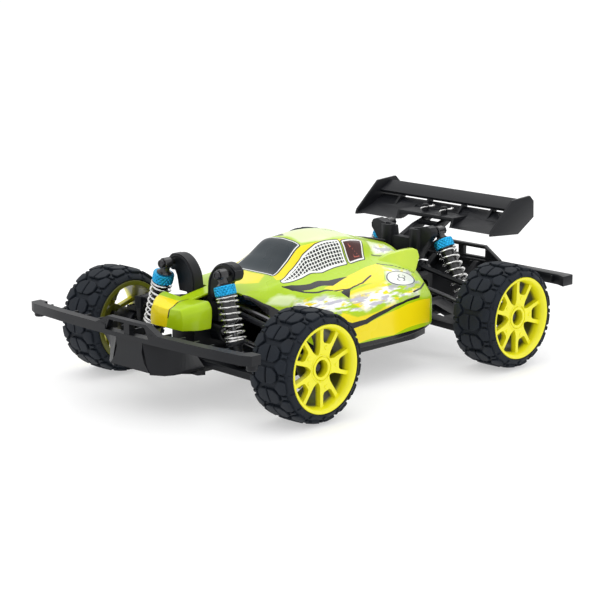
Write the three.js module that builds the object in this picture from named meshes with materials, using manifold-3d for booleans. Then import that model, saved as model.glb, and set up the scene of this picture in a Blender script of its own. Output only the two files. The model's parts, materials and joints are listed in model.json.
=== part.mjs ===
// A four-wheel-drive radio controlled buggy with a painted body shell, sprung arms and a rear wing.
// Millimetres. +Z up, the nose points to -Y, the buggy's own left side is +X, the ground is z = 0.
import * as THREE from "three";
import { mergeVertices } from "three/addons/utils/BufferGeometryUtils.js";
import Module from "manifold-3d";

const wasm = await Module();
wasm.setup();

// ---- driving dimensions ----

const CLEARANCE = 0.3; // between pieces that touch or seat on each other
const RUNNING_GAP = 0.5; // between pieces that turn or slide past each other

const OVERALL_LENGTH = 302; // front bumper to rear bumper
const WHEELBASE = 177;
const TRACK = 168; // between the middles of the two tyres of an axle

const TYRE_RADIUS = 33;
const TYRE_WIDTH = 32;
const TYRE_BEAD_RADIUS = 24.5;
const TYRE_SIDES = 24;
const RIM_WALL = 1.8;
const RIM_LIP_HEIGHT = 1.8;
const RIM_FACE_DEPTH = 5; // from the rim's outer edge in to the spokes
const SPOKE_THICKNESS = 4;
const SPOKE_PAIRS = 5;
const HUB_RADIUS = 8.5;
const NUT_RADIUS = 3.9;
const NUT_POCKET_DEPTH = 5;

const AXLE_RADIUS = 2.4;
const AXLE_CUP_RADIUS = 5.2;
const AXLE_CUP_WALL = 1;
const AXLE_CUP_DEPTH = 10;
const AXLE_HEX_RADIUS = 5.6;
const BONE_RADIUS = 1.6;
const BONE_INNER_X = 14.5;
const BONE_BALL_RADIUS = 2.9; // in the gearbox socket
const BONE_END_RADIUS = 2.2; // in the axle cup, smaller so that it can rise and fall with the arm

const INNER_PIVOT_X = 14;
const ARM_REACH = 42; // sideways, from the inner pivot to the outer pivot
const ARM_DROP = 7.5; // the outer pivot is this much lower
const LOWER_PIVOT_Z = 27.5;
const FRONT_UPPER_PIVOT_Z = 56.5;
const REAR_UPPER_PIVOT_Z = 54.5;
const PIN_RADIUS = 1.4;
const EYE_RADIUS = 3.1;
const LINK_EYE_LENGTH = 6;
const LINK_RADIUS = 1.8;
const ARM_THICKNESS = 4;
const ARM_INNER_LENGTH = 43;
const ARM_OUTER_LENGTH = 17;

const KINGPIN_X = 64;
const STEERING_LEVER = 9; // from the kingpin back to the tie rod
const RACK_HALF_HEIGHT = 2.6;
const TIE_EYE_HALF_HEIGHT = 1.5;
const CARRIER_HALF_DEPTH = 5.5;
const UPRIGHT_RADIUS = 8.2;

const SHOCK_SETBACK = 9.5; // from the wheel's axis to the shock's plane
const FRONT_SHOCK_TOP = [24.3, 77.9];
const FRONT_SHOCK_FOOT = [40, 29];
const REAR_SHOCK_TOP = [22, 77];
const REAR_SHOCK_FOOT = [52.5, 27];
const SHOCK_BODY_RADIUS = 4.5;
const SHOCK_ROD_RADIUS = 1.4;
const SHOCK_EYE_RADIUS = 3.4;
const SHOCK_EYE_LENGTH = 5.6;
const SHOCK_FOOT_PLAY = 0.8; // the foot's eye is this much larger than its pin
const SPRING_WIRE_RADIUS = 0.75;
const SPRING_RADIUS = SHOCK_BODY_RADIUS + 2 * SPRING_WIRE_RADIUS;
const SPRING_TURNS = 7;
const COLLAR_RADIUS = SPRING_RADIUS + 0.5;

const CHASSIS_UNDERSIDE = 20;
const CHASSIS_THICKNESS = 3;
const TUB_WALL = 2;
const TUB_RIM_Z = 31;
const ARM_BAY_X = INNER_PIVOT_X + 4.5; // the floor ends here beside the arms, so that they can swing down
const CHASSIS_HALF_LENGTH = 116;
const SHELL_WALL = 1.6;

const GEARBOX_HALF_WIDTH = 9.6;
const GEARBOX_TOP = 51;
const GEARBOX_LENGTH = 37;
const OUTPUT_Z = 41; // the height of the gearbox's side outputs
const OUTPUT_RADIUS = 6;
const OUTPUT_REACH = 18;

const PROP_SHAFT_RADIUS = 2.5;
const SPUR_GEAR_RADIUS = 15;
const SPUR_GEAR_TEETH = 18;
const MOTOR_RADIUS = 14;
const MOTOR_LENGTH = 36;

const HORN_DEPTH = 7;
const HORN_NECK_X = 10.2; // half the width of the front tower above the gearbox
const BRIDGE_HALF_WIDTH = 5.2; // the strip of shell between the two horns of the front tower
const BUMPER_HALF_WIDTH = 97;
const WINDOW_POST = 2.2; // half the post between the two windows of a bumper
const WING_HALF_SPAN = 58;
const WING_SHEET = 2.4;
const WING_PEG = [8.2, 119.5];
const END_PLATE_THICKNESS = 1.6;

// ---- values worked out from them ----

const AXLE_Y = WHEELBASE / 2;
const WHEEL_X = TRACK / 2;
const AXLE_Z = TYRE_RADIUS;
const OUTER_PIVOT_X = INNER_PIVOT_X + ARM_REACH;
const ARM_SLOPE = Math.atan2(ARM_DROP, ARM_REACH);
const ARM_LENGTH = Math.hypot(ARM_REACH, ARM_DROP);
const CHASSIS_TOP = CHASSIS_UNDERSIDE + CHASSIS_THICKNESS;
const DECK = CHASSIS_TOP + CLEARANCE;
const BUMPER_Y = OVERALL_LENGTH / 2;
const RACK_Y = AXLE_Y - STEERING_LEVER;
const TIE_ROD_REACH = KINGPIN_X - INNER_PIVOT_X;
const TIE_ROD_END_Z = FRONT_UPPER_PIVOT_Z - TIE_ROD_REACH * Math.tan(ARM_SLOPE);
const HALF_TYRE = TYRE_WIDTH / 2;
const RIM_BARREL_RADIUS = TYRE_BEAD_RADIUS - CLEARANCE;
const HUB_INNER_X = 0.4;
const RIM_FACE_X = HALF_TYRE - RIM_FACE_DEPTH;

// ---- colours ----

const BLACK_PLASTIC = { color: 0x17181a, roughness: 0.55, metalness: 0 };
const RUBBER = { color: 0x1b1f26, roughness: 0.85, metalness: 0 };
const YELLOW_PLASTIC = { color: 0xe3e600, roughness: 0.35, metalness: 0 };
const LIME_PAINT = { color: 0xa4cf12, roughness: 0.3, metalness: 0 };
const BRIGHT_STEEL = { color: 0xb9bcc0, roughness: 0.3, metalness: 1 };
const DARK_STEEL = { color: 0x5a5c60, roughness: 0.4, metalness: 1 };
const BATTERY_WRAP = { color: 0x20344e, roughness: 0.5, metalness: 0 };

// ---- solids ----

function solid(geometry) {
  const bare = geometry.index ? geometry.toNonIndexed() : geometry.clone();
  for (const name of Object.keys(bare.attributes)) {
    if (name !== "position") {
      bare.deleteAttribute(name);
    }
  }
  const merged = mergeVertices(bare, 1e-4);
  const mesh = new wasm.Mesh({
    numProp: 3,
    vertProperties: merged.attributes.position.array,
    triVerts: new Uint32Array(merged.index.array),
  });
  return new wasm.Manifold(mesh);
}

function geometryOf(manifold) {
  const mesh = manifold.getMesh();
  const geometry = new THREE.BufferGeometry();
  geometry.setAttribute("position", new THREE.BufferAttribute(mesh.vertProperties, mesh.numProp));
  geometry.setIndex(new THREE.BufferAttribute(mesh.triVerts, 1));
  const flat = geometry.toNonIndexed();
  flat.computeVertexNormals();
  return flat;
}

function join(...pieces) {
  return pieces.reduce((sum, piece) => sum.add(piece));
}

function cut(body, ...tools) {
  return tools.reduce((rest, tool) => rest.subtract(tool), body);
}

// A box between two corners.
function box(x0, x1, y0, y1, z0, z1) {
  const geometry = new THREE.BoxGeometry(x1 - x0, y1 - y0, z1 - z0);
  geometry.translate((x0 + x1) / 2, (y0 + y1) / 2, (z0 + z1) / 2);
  return solid(geometry);
}

// A round bar from one point to another.
function bar(from, to, radius, sides = 8) {
  const start = new THREE.Vector3(...from);
  const end = new THREE.Vector3(...to);
  const along = end.clone().sub(start);
  const geometry = new THREE.CylinderGeometry(radius, radius, along.length(), sides);
  const turn = new THREE.Quaternion().setFromUnitVectors(new THREE.Vector3(0, 1, 0), along.normalize());
  geometry.applyQuaternion(turn);
  geometry.translate(...start.add(end).multiplyScalar(0.5).toArray());
  return solid(geometry);
}

// A bar along Y, centred on y, as pins, eyes and bores are.
function crossBar(x, y, z, radius, length, sides = 8) {
  return bar([x, y - length / 2, z], [x, y + length / 2, z], radius, sides);
}

function ball(x, y, z, radius) {
  const geometry = new THREE.SphereGeometry(radius, 8, 5);
  geometry.translate(x, y, z);
  return solid(geometry);
}

// An outline of [a, b] points given a thickness. The plane says which two axes a and b are.
function plate(outline, plane, from, to) {
  const shape = new THREE.Shape(outline.map(([a, b]) => new THREE.Vector2(a, b)));
  const geometry = new THREE.ExtrudeGeometry(shape, { depth: to - from, bevelEnabled: false });
  geometry.translate(0, 0, from);
  const axes = {
    xy: [[1, 0, 0], [0, 1, 0], [0, 0, 1]],
    xz: [[1, 0, 0], [0, 0, 1], [0, -1, 0]],
    yz: [[0, 1, 0], [0, 0, 1], [1, 0, 0]],
  }[plane];
  const basis = new THREE.Matrix4().makeBasis(...axes.map((axis) => new THREE.Vector3(...axis)));
  geometry.applyMatrix4(basis);
  return solid(geometry);
}

// A plate in the xz plane between two places on Y.
function facePlate(outline, y0, y1) {
  return plate(outline, "xz", -y1, -y0);
}

// The same outline on both sides of the middle line, as one closed outline.
function bothSides(half) {
  const other = half.map(([a, b]) => [-a, b]).reverse();
  return [...half, ...other.filter(([a]) => a !== 0)];
}

function mirrored(manifold) {
  return manifold.mirror([1, 0, 0]);
}

// A turned piece about the X axis. The profile holds [x, radius] points.
function turned(profile, sides) {
  const points = profile.map(([x, radius]) => new THREE.Vector2(radius, x));
  const geometry = new THREE.LatheGeometry(points, sides, Math.PI / sides);
  geometry.rotateZ(-Math.PI / 2);
  const made = solid(geometry);
  return made.volume() < 0 ? solid(reversed(geometry)) : made;
}

function reversed(geometry) {
  const index = geometry.index.array;
  for (let i = 0; i < index.length; i += 3) {
    [index[i + 1], index[i + 2]] = [index[i + 2], index[i + 1]];
  }
  return geometry;
}

// ---- body shell ----

// Each row is one section of the shell, from the nose to the tail: its place on Y, then the
// points of its left half in [x, z], from the crest of the middle line down to the sill.
const SHELL_SECTIONS = [
  [-119, [0, 57.5], [7, 58], [12.5, 58.5], [14.5, 55], [15, 50], [14.5, 46]],
  [-112, [0, 60], [9, 60.5], [17.5, 61], [20, 57.5], [20.5, 52], [19.5, 46]],
  [-103, [0, 61], [11, 62], [20.5, 62.8], [23, 59], [23, 54], [22, 46.5]],
  [-82, [0, 64.5], [13, 65], [24, 64.3], [26.5, 63.4], [27.6, 62.4], [27.6, 61]],
  [-70, [0, 66.5], [14, 67], [27, 65.5], [33, 60], [35, 55], [34.5, 50.5]],
  [-60, [0, 68], [15, 68.3], [27.5, 66.3], [34.5, 59], [36.5, 53], [35, 42]],
  [-49, [0, 69.8], [16.5, 69.8], [27.4, 67.3], [38, 59], [43, 50], [42, 34]],
  [-38, [0, 77], [15.8, 76], [27, 67.8], [41, 58.5], [51, 47], [51, 26.5]],
  [-24, [0, 86], [15, 84.9], [26.5, 68.6], [44, 58], [56, 45.5], [56, 25]],
  [-5, [0, 90], [18.5, 84.5], [26.5, 69.5], [45.5, 58.5], [57.5, 46.5], [57.5, 24.5]],
  [15, [0, 87.8], [20, 83], [26.5, 70], [46.5, 59], [58, 47], [58, 24.5]],
  [27, [0, 83.4], [20, 80.8], [25.5, 70], [47.5, 58.5], [57.5, 47.5], [57.5, 24.5]],
  [36, [0, 80.5], [17, 78.6], [24.5, 69], [48, 57], [57, 47.5], [57, 25]],
  [57, [0, 74.8], [12, 72.8], [23.5, 66], [45, 52.5], [52.5, 45], [52.5, 28]],
  [66, [0, 72.3], [10, 70], [22, 63.5], [34, 55], [38, 49], [37, 42]],
];

// A closed body through sections that all have the same number of points.
function loft(sections) {
  const perRing = sections[0].points.length;
  const positions = [];
  for (const section of sections) {
    for (const [x, z] of section.points) {
      positions.push(x, section.y, z);
    }
  }
  const index = [];
  for (let row = 0; row + 1 < sections.length; row += 1) {
    for (let i = 0; i < perRing; i += 1) {
      const a = row * perRing + i;
      const b = row * perRing + ((i + 1) % perRing);
      index.push(a, a + perRing, b, b, a + perRing, b + perRing);
    }
  }
  for (const row of [0, sections.length - 1]) {
    const ring = sections[row].points.map(([x, z]) => new THREE.Vector2(x, z));
    for (const face of THREE.ShapeUtils.triangulateShape(ring, [])) {
      const [a, b, c] = face.map((i) => row * perRing + i);
      index.push(...(row > 0 ? [a, b, c] : [a, c, b]));
    }
  }
  const geometry = new THREE.BufferGeometry();
  geometry.setAttribute("position", new THREE.Float32BufferAttribute(positions, 3));
  geometry.setIndex(index);
  const made = solid(geometry);
  return made.volume() < 0 ? solid(reversed(geometry)) : made;
}

function shellRing(points, inset, below) {
  const half = points.map(([x, z], i) => {
    const last = i === points.length - 1;
    return [Math.max(x - inset, 0), last ? z - below : z - inset];
  });
  return bothSides(half);
}

function bodyShell() {
  const outer = SHELL_SECTIONS.map(([y, ...points]) => ({ y, points: shellRing(points, 0, 0) }));
  const inner = SHELL_SECTIONS.map(([y, ...points]) => ({
    y,
    points: shellRing(points, SHELL_WALL, 3),
  }));
  inner[0].y += SHELL_WALL;
  inner[inner.length - 1].y += 1;
  const slotFront = -AXLE_Y - 16;
  const slotBack = -AXLE_Y + 6;
  const slots = [-1, 1].map((side) => {
    const near = side * BRIDGE_HALF_WIDTH;
    const far = side * 45;
    return box(Math.min(near, far), Math.max(near, far), slotFront, slotBack, 30, 90);
  });
  const tieWays = [-1, 1].map((side) => {
    const near = side * 20;
    const far = side * 45;
    const [y0, y1] = [-RACK_Y - 2.6, -RACK_Y + 2.6];
    return box(Math.min(near, far), Math.max(near, far), y0, y1, 30, FRONT_UPPER_PIVOT_Z + 3.8);
  });
  const fin = plate([[38, 64], [44, 69], [71, 70], [70, 62.5], [58, 55], [46, 58]], "yz", 25, 28.5);
  const hollow = loft(inner);
  const trimmedFin = cut(fin, hollow);
  const shell = cut(join(loft(outer), trimmedFin, mirrored(trimmedFin)), hollow, ...slots, ...tieWays);
  return largest(shell);
}

// The one piece that is left when a cut leaves slivers beside it.
function largest(manifold) {
  return manifold.decompose().reduce((best, piece) => (piece.volume() > best.volume() ? piece : best));
}

// ---- chassis, bumpers and gearboxes ----

const TUB_OUTLINE = [
  [0, -CHASSIS_HALF_LENGTH],
  [22, -CHASSIS_HALF_LENGTH],
  [26, -108],
  [26, -60],
  [33, -50],
  [44, -39],
  [50, -28],
  [53, -18],
  [53, 40],
  [48, 56],
  [30, 64],
  [26, 70],
  [26, CHASSIS_HALF_LENGTH],
  [0, CHASSIS_HALF_LENGTH],
];

function chassisTub() {
  const outline = bothSides(TUB_OUTLINE);
  const inside = bothSides(TUB_OUTLINE.map(([x, y]) => [Math.max(x - TUB_WALL, 0), y * 0.96]));
  const block = plate(outline, "xy", CHASSIS_UNDERSIDE, TUB_RIM_Z);
  const hollow = plate(inside, "xy", CHASSIS_TOP, TUB_RIM_Z + 1);
  const frontDeck = box(-60, 60, -CHASSIS_HALF_LENGTH - 1, -58, CHASSIS_TOP, TUB_RIM_Z + 1);
  const rearDeck = box(-60, 60, 64, CHASSIS_HALF_LENGTH + 1, CHASSIS_TOP, TUB_RIM_Z + 1);
  const bayHalf = ARM_INNER_LENGTH / 2 + 3 * RUNNING_GAP;
  const bays = [];
  for (const side of [-1, 1]) {
    const [near, far] = side > 0 ? [ARM_BAY_X, 60] : [-60, -ARM_BAY_X];
    for (const middle of [-AXLE_Y, AXLE_Y]) {
      bays.push(box(near, far, middle - bayHalf, middle + bayHalf, CHASSIS_UNDERSIDE - 1, TUB_RIM_Z + 1));
    }
  }
  return cut(block, hollow, frontDeck, rearDeck, ...bays);
}

// The raised middle of a bumper: its outline, and the two windows that are cut through it.
function hump(topHalf, footHalf, footZ, topZ, y0, y1) {
  const outline = bothSides([
    [0, topZ],
    [topHalf, topZ],
    [footHalf, footZ],
    [footHalf, footZ - 6],
    [0, footZ - 6],
  ]);
  return facePlate(outline, y0, y1);
}

function windows(width, lowZ, highZ, y0, y1) {
  return [-1, 1].map((side) => {
    const inner = side * WINDOW_POST;
    const outer = side * (WINDOW_POST + width);
    return box(Math.min(inner, outer), Math.max(inner, outer), y0, y1, lowZ, highZ);
  });
}

function frontBumper() {
  const front = -BUMPER_Y;
  const beamOutline = bothSides([
    [0, front],
    [30, front + 0.4],
    [62, front + 1.7],
    [91, front + 4.2],
    [BUMPER_HALF_WIDTH, front + 7],
    [BUMPER_HALF_WIDTH, front + 14],
    [90, front + 14],
    [88, front + 10],
    [60, front + 7.6],
    [30, front + 6.4],
    [0, front + 6],
  ]);
  const beam = plate(beamOutline, "xy", 44.4, 50.2);
  const raised = hump(17, 28, 50, 55.5, front + 0.2, front + 4.5);
  const jawOutline = bothSides([[0, 45], [46, 45], [41, 38], [24, 27], [0, 27]]);
  const jaw = facePlate(jawOutline, front + 2, front + 6);
  const back = -CHASSIS_HALF_LENGTH - CLEARANCE;
  const skidOutline = [[front + 2.2, 27], [back, CHASSIS_UNDERSIDE], [back, CHASSIS_TOP], [front + 5.5, 31]];
  const skid = plate(skidOutline, "yz", -24, 24);
  const braceOutline = [[front + 5, 28], [back, CHASSIS_UNDERSIDE + 1], [back, 34], [front + 5, 44.6]];
  const braces = [-22, 22].map((x) => plate(braceOutline, "yz", x - 1.5, x + 1.5));
  const feet = [-1, 1].map((side) => {
    const x = side * (BUMPER_HALF_WIDTH - 3.5);
    return bar([x, front + 10.5, 41], [x, front + 10.5, 45], 3.2);
  });
  const body = join(beam, raised, jaw, skid, ...braces, ...feet);
  return cut(body, ...windows(16.5, 47.2, 53.4, front - 1, front + 8));
}

function rearBumper() {
  const back = BUMPER_Y;
  const beamOutline = bothSides([
    [0, back - 7],
    [30, back - 7],
    [60, back - 7.5],
    [86, back - 9],
    [BUMPER_HALF_WIDTH - 4, back - 12],
    [BUMPER_HALF_WIDTH - 4, back - 1.5],
    [90, back - 0.6],
    [30, back],
    [0, back],
  ]);
  const beam = plate(beamOutline, "xy", 44.2, 50.8);
  const raised = hump(20, 33, 51.5, 60, back - 4, back - 0.4);
  const front = CHASSIS_HALF_LENGTH + CLEARANCE;
  const braceOutline = [[front, CHASSIS_UNDERSIDE], [back - 4, 44.5], [back - 4, 50], [back - 10, 50], [front, 30]];
  const braces = [-18, 18].map((x) => plate(braceOutline, "yz", x - 2, x + 2));
  const floorOutline = [[front, CHASSIS_UNDERSIDE], [back - 5, 44.6], [back - 5, 47.4], [front, CHASSIS_TOP]];
  const floor = plate(floorOutline, "yz", -20, 20);
  const body = join(beam, raised, floor, ...braces);
  return cut(body, ...windows(19, 52, 57.8, back - 8, back + 1));
}

// The housing is made for the rear (+Y) end. The front one is the same piece the other way round.
function gearbox(upperPivotZ, rackBed) {
  const half = GEARBOX_HALF_WIDTH;
  const y0 = AXLE_Y - GEARBOX_LENGTH / 2;
  const y1 = AXLE_Y + GEARBOX_LENGTH / 2;
  const profile = bothSides([[0, GEARBOX_TOP], [half - 2.5, GEARBOX_TOP], [half, GEARBOX_TOP - 3], [half, DECK], [0, DECK]]);
  const housing = facePlate(profile, y0, y1);
  const earGap = LINK_EYE_LENGTH / 2 + RUNNING_GAP;
  const earThickness = 1.9;
  const shelf = box(-17, 17, AXLE_Y - earGap - earThickness, AXLE_Y + earGap + earThickness, OUTPUT_Z + 7, GEARBOX_TOP);
  const ears = [];
  const pins = [];
  for (const side of [-1, 1]) {
    for (const end of [-1, 1]) {
      const inner = AXLE_Y + end * earGap;
      const outer = AXLE_Y + end * (earGap + earThickness);
      const [e0, e1] = [Math.min(inner, outer), Math.max(inner, outer)];
      const [x0, x1] = side > 0 ? [HORN_NECK_X + CLEARANCE, 17] : [-17, -HORN_NECK_X - CLEARANCE];
      ears.push(box(x0, x1, e0, e1, GEARBOX_TOP - 1, upperPivotZ + 2.6));
    }
    pins.push(crossBar(side * INNER_PIVOT_X, AXLE_Y, upperPivotZ, PIN_RADIUS, 2 * earGap + 2));
    pins.push(crossBar(side * INNER_PIVOT_X, AXLE_Y, LOWER_PIVOT_Z, PIN_RADIUS, ARM_INNER_LENGTH + 4));
  }
  const blocks = [-1, 1].map((end) => {
    const inner = AXLE_Y + end * (ARM_INNER_LENGTH / 2 + RUNNING_GAP);
    const outer = inner + end * 3;
    return box(-17, 17, Math.min(inner, outer), Math.max(inner, outer), DECK, LOWER_PIVOT_Z + 3);
  });
  const spine = box(-5, 5, AXLE_Y - ARM_INNER_LENGTH / 2 - 2, AXLE_Y + ARM_INNER_LENGTH / 2 + 2, DECK, LOWER_PIVOT_Z);
  const outputs = bar([-OUTPUT_REACH, AXLE_Y, OUTPUT_Z], [OUTPUT_REACH, AXLE_Y, OUTPUT_Z], OUTPUT_RADIUS, 14);
  const sockets = [-1, 1].map((side) => {
    const from = side * (GEARBOX_HALF_WIDTH - 1.6);
    const to = side * (OUTPUT_REACH + 1);
    return bar([from, AXLE_Y, OUTPUT_Z], [to, AXLE_Y, OUTPUT_Z], OUTPUT_RADIUS - 1.3, 14);
  });
  const solidPart = cut(join(housing, shelf, spine, outputs, ...blocks, ...ears), ...sockets);
  const bed = box(-8, 8, RACK_Y - 2, RACK_Y + 2, GEARBOX_TOP - 1, FRONT_UPPER_PIVOT_Z - RACK_HALF_HEIGHT - RUNNING_GAP);
  return rackBed ? join(solidPart, bed, ...pins) : join(solidPart, ...pins);
}

// ---- shock towers, wing mount and wing ----

function roundEnd(x, z, radius, fromDegrees, toDegrees, steps) {
  const points = [];
  for (let i = 0; i <= steps; i += 1) {
    const angle = THREE.MathUtils.degToRad(fromDegrees + ((toDegrees - fromDegrees) * i) / steps);
    points.push([x + radius * Math.cos(angle), z + radius * Math.sin(angle)]);
  }
  return points;
}

function towerScrew(x, z, towerFace) {
  const eyeMiddle = AXLE_Y + SHOCK_SETBACK;
  const eyeFar = eyeMiddle + SHOCK_EYE_LENGTH / 2;
  const shank = bar([x, towerFace - 1, z], [x, eyeFar + 1, z], PIN_RADIUS);
  const head = bar([x, eyeFar + CLEARANCE, z], [x, eyeFar + 2.4, z], 2.6);
  return join(shank, head);
}

// Two horns that arch out from the middle, made for the +Y end as the gearbox is.
function frontShockTower() {
  const [topX, topZ] = FRONT_SHOCK_TOP;
  const neckFoot = GEARBOX_TOP + CLEARANCE;
  const inner = BRIDGE_HALF_WIDTH + RUNNING_GAP;
  const underside = FRONT_UPPER_PIVOT_Z + EYE_RADIUS + 1;
  const outline = [
    [inner, neckFoot],
    [inner, 64],
    [7.6, 73.5],
    [12.6, 80.3],
    [18.8, 83.3],
    ...roundEnd(topX, topZ, 5.4, 90, -70, 5),
    [21.6, 70.5],
    [20.4, 64],
    [19.5, underside],
    [HORN_NECK_X, underside],
    [HORN_NECK_X, neckFoot],
  ];
  const face = AXLE_Y + HORN_DEPTH / 2;
  const horn = join(facePlate(outline, AXLE_Y - HORN_DEPTH / 2, face), towerScrew(topX, topZ, face));
  const yoke = box(-HORN_NECK_X, HORN_NECK_X, AXLE_Y - HORN_DEPTH / 2, face, neckFoot, neckFoot + 5);
  return join(horn, mirrored(horn), yoke);
}

function rearShockTower() {
  const [topX, topZ] = REAR_SHOCK_TOP;
  const neckFoot = GEARBOX_TOP + CLEARANCE;
  const underside = REAR_UPPER_PIVOT_Z + EYE_RADIUS + 1;
  const outline = bothSides([
    [0, 72],
    [7, 72],
    [8, 78],
    [14, 79.5],
    ...roundEnd(topX, topZ, 4.6, 90, -60, 4),
    [17, 64],
    [15, underside],
    [HORN_NECK_X, underside],
    [HORN_NECK_X, neckFoot],
    [0, neckFoot],
  ]);
  const face = AXLE_Y + 3.5;
  const plateBody = facePlate(outline, AXLE_Y - 2.5, face);
  const posts = [-1, 1].map((side) => bar([side * 12.5, AXLE_Y - 1, 62], [side * 12.5, AXLE_Y - 1, 79], 4.8, 12));
  const holes = [-1, 1].map((side) => bar([side * 12.5, AXLE_Y - 1, 74], [side * 12.5, AXLE_Y - 1, 80], 2, 10));
  const screws = [-1, 1].map((side) => towerScrew(side * topX, topZ, face));
  return cut(join(plateBody, ...posts, ...screws), ...holes);
}


// Two struts that rise back from the tower, each with a peg that goes up through the wing.
function wingMount() {
  const start = AXLE_Y + 3.5 + CLEARANCE;
  const [pegX, pegY] = WING_PEG;
  const strutOutline = [[start, 60], [start, 70], [108, 77], [pegY + 5, 81.4], [pegY + 5, 78.4], [110, 71], [100, 60]];
  const parts = [];
  for (const side of [-1, 1]) {
    const x = side * pegX;
    parts.push(plate(strutOutline, "yz", x - 1.8, x + 1.8));
    parts.push(bar([x, pegY, 79], [x, pegY, 87.4], 2.2));
  }
  parts.push(box(-pegX, pegX, start, start + 3, 60, 68));
  parts.push(box(-pegX, pegX, 112, 115, 76, 79));
  return join(...parts);
}

function rearWing() {
  const seat = 81.4 + CLEARANCE;
  const half = WING_HALF_SPAN;
  const [pegX, pegY] = WING_PEG;
  const mainOutline = [[106.5, 78.2], [112, 77.6], [123, 80.6], [134, 86.2], [133.2, 88], [122, 82.8], [112, 79.9]];
  const main = cut(plate(mainOutline, "yz", -half, half), box(-23, 23, 100, 128, 70, 90));
  const platform = box(-24, 24, 110, 131, seat, seat + WING_SHEET);
  const rearOfPlatform = plate([[126, seat], [134, 86.2], [133.2, 88], [126, seat + WING_SHEET]], "yz", -24, 24);
  const gussets = [-1, 1].map((side) => plate([[108, 78], [114, 78], [128, seat + 1], [110.2, seat + 2]], "yz", side * 23.5 - 1, side * 23.5 + 1));
  const flap = plate([[130.5, 89.4], [141, 95.2], [140.2, 97], [129.6, 91.2]], "yz", -half, half);
  const ribs = [-40, -15, 15, 40].map((x) => plate([[122, 81.6], [133, 86.4], [140, 95.6], [131.5, 91]], "yz", x - 0.9, x + 0.9));
  const endOutline = [
    [105.4, 77.2],
    [119.8, 76],
    [133.6, 75],
    [149.6, 84.5],
    [149.2, 95.3],
    [145.3, 99],
    [127.2, 98],
    [106.7, 80.5],
  ];
  const ends = [-1, 1].map((side) => {
    const inner = side * half;
    const outer = side * (half + END_PLATE_THICKNESS);
    return plate(endOutline, "yz", Math.min(inner, outer) - 0.01, Math.max(inner, outer) + 0.01);
  });
  const holes = [-1, 1].map((side) => bar([side * pegX, pegY, 70], [side * pegX, pegY, 95], 2.2 + CLEARANCE));
  return cut(join(main, platform, rearOfPlatform, ...gussets, flap, ...ribs, ...ends), ...holes);
}

// ---- drive and electrics ----

function centreShaft() {
  const end = AXLE_Y - ARM_INNER_LENGTH / 2 - 4.5;
  const shaft = bar([0, -end, OUTPUT_Z], [0, end, OUTPUT_Z], PROP_SHAFT_RADIUS);
  const teeth = [];
  for (let i = 0; i < SPUR_GEAR_TEETH; i += 1) {
    for (const [radius, share] of [[SPUR_GEAR_RADIUS, -0.25], [SPUR_GEAR_RADIUS, 0.05], [SPUR_GEAR_RADIUS - 1.4, 0.25], [SPUR_GEAR_RADIUS - 1.4, 0.55]]) {
      const angle = ((i + share) / SPUR_GEAR_TEETH) * 2 * Math.PI;
      teeth.push([radius * Math.cos(angle), OUTPUT_Z + radius * Math.sin(angle)]);
    }
  }
  return join(shaft, facePlate(teeth, 3, 8));
}

function driveMotor() {
  const x = SPUR_GEAR_RADIUS + 5;
  const can = bar([x, 12, OUTPUT_Z], [x, 12 + MOTOR_LENGTH, OUTPUT_Z], MOTOR_RADIUS, 16);
  const shaft = bar([x, 2, OUTPUT_Z], [x, 14, OUTPUT_Z], 1.6);
  const pinion = bar([x, 3, OUTPUT_Z], [x, 8, OUTPUT_Z], 4.3, 12);
  const tail = bar([x, 12 + MOTOR_LENGTH - 1, OUTPUT_Z], [x, 12 + MOTOR_LENGTH + 2, OUTPUT_Z], 5, 12);
  return join(can, shaft, pinion, tail);
}

function batteryPack() {
  const outline = roundedSides(-46, -18, DECK, DECK + 24, 5);
  return facePlate(outline, -28, 50);
}

function roundedSides(x0, x1, z0, z1, radius) {
  return [
    ...roundEnd(x1 - radius, z1 - radius, radius, 90, 0, 3),
    ...roundEnd(x1 - radius, z0 + radius, radius, 0, -90, 3),
    ...roundEnd(x0 + radius, z0 + radius, radius, -90, -180, 3),
    ...roundEnd(x0 + radius, z1 - radius, radius, 180, 90, 3),
  ];
}

function receiverBox() {
  return join(box(8, 32, -44, -8, DECK, DECK + 12), box(12, 28, -40, -12, DECK + 11, DECK + 14));
}

function steeringServo() {
  const body = box(-22.5, -4.5, -60, -36, DECK, DECK + 20);
  const flange = box(-22.5, -4.5, -62.5, -33, DECK + 13, DECK + 15);
  const horn = bar([-13.5, -54, DECK + 19], [-13.5, -54, DECK + 23], 4);
  return join(body, flange, horn);
}

function steeringRack() {
  const reach = INNER_PIVOT_X - BONE_BALL_RADIUS - RUNNING_GAP;
  const h = RACK_HALF_HEIGHT;
  const z = FRONT_UPPER_PIVOT_Z;
  return box(-reach, reach, RACK_Y - 2.2, RACK_Y + 2.2, z - h, z + h);
}

// ---- corner parts, made for the left side, with the axle at y = 0 and +Y pointing away from the middle ----

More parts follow.
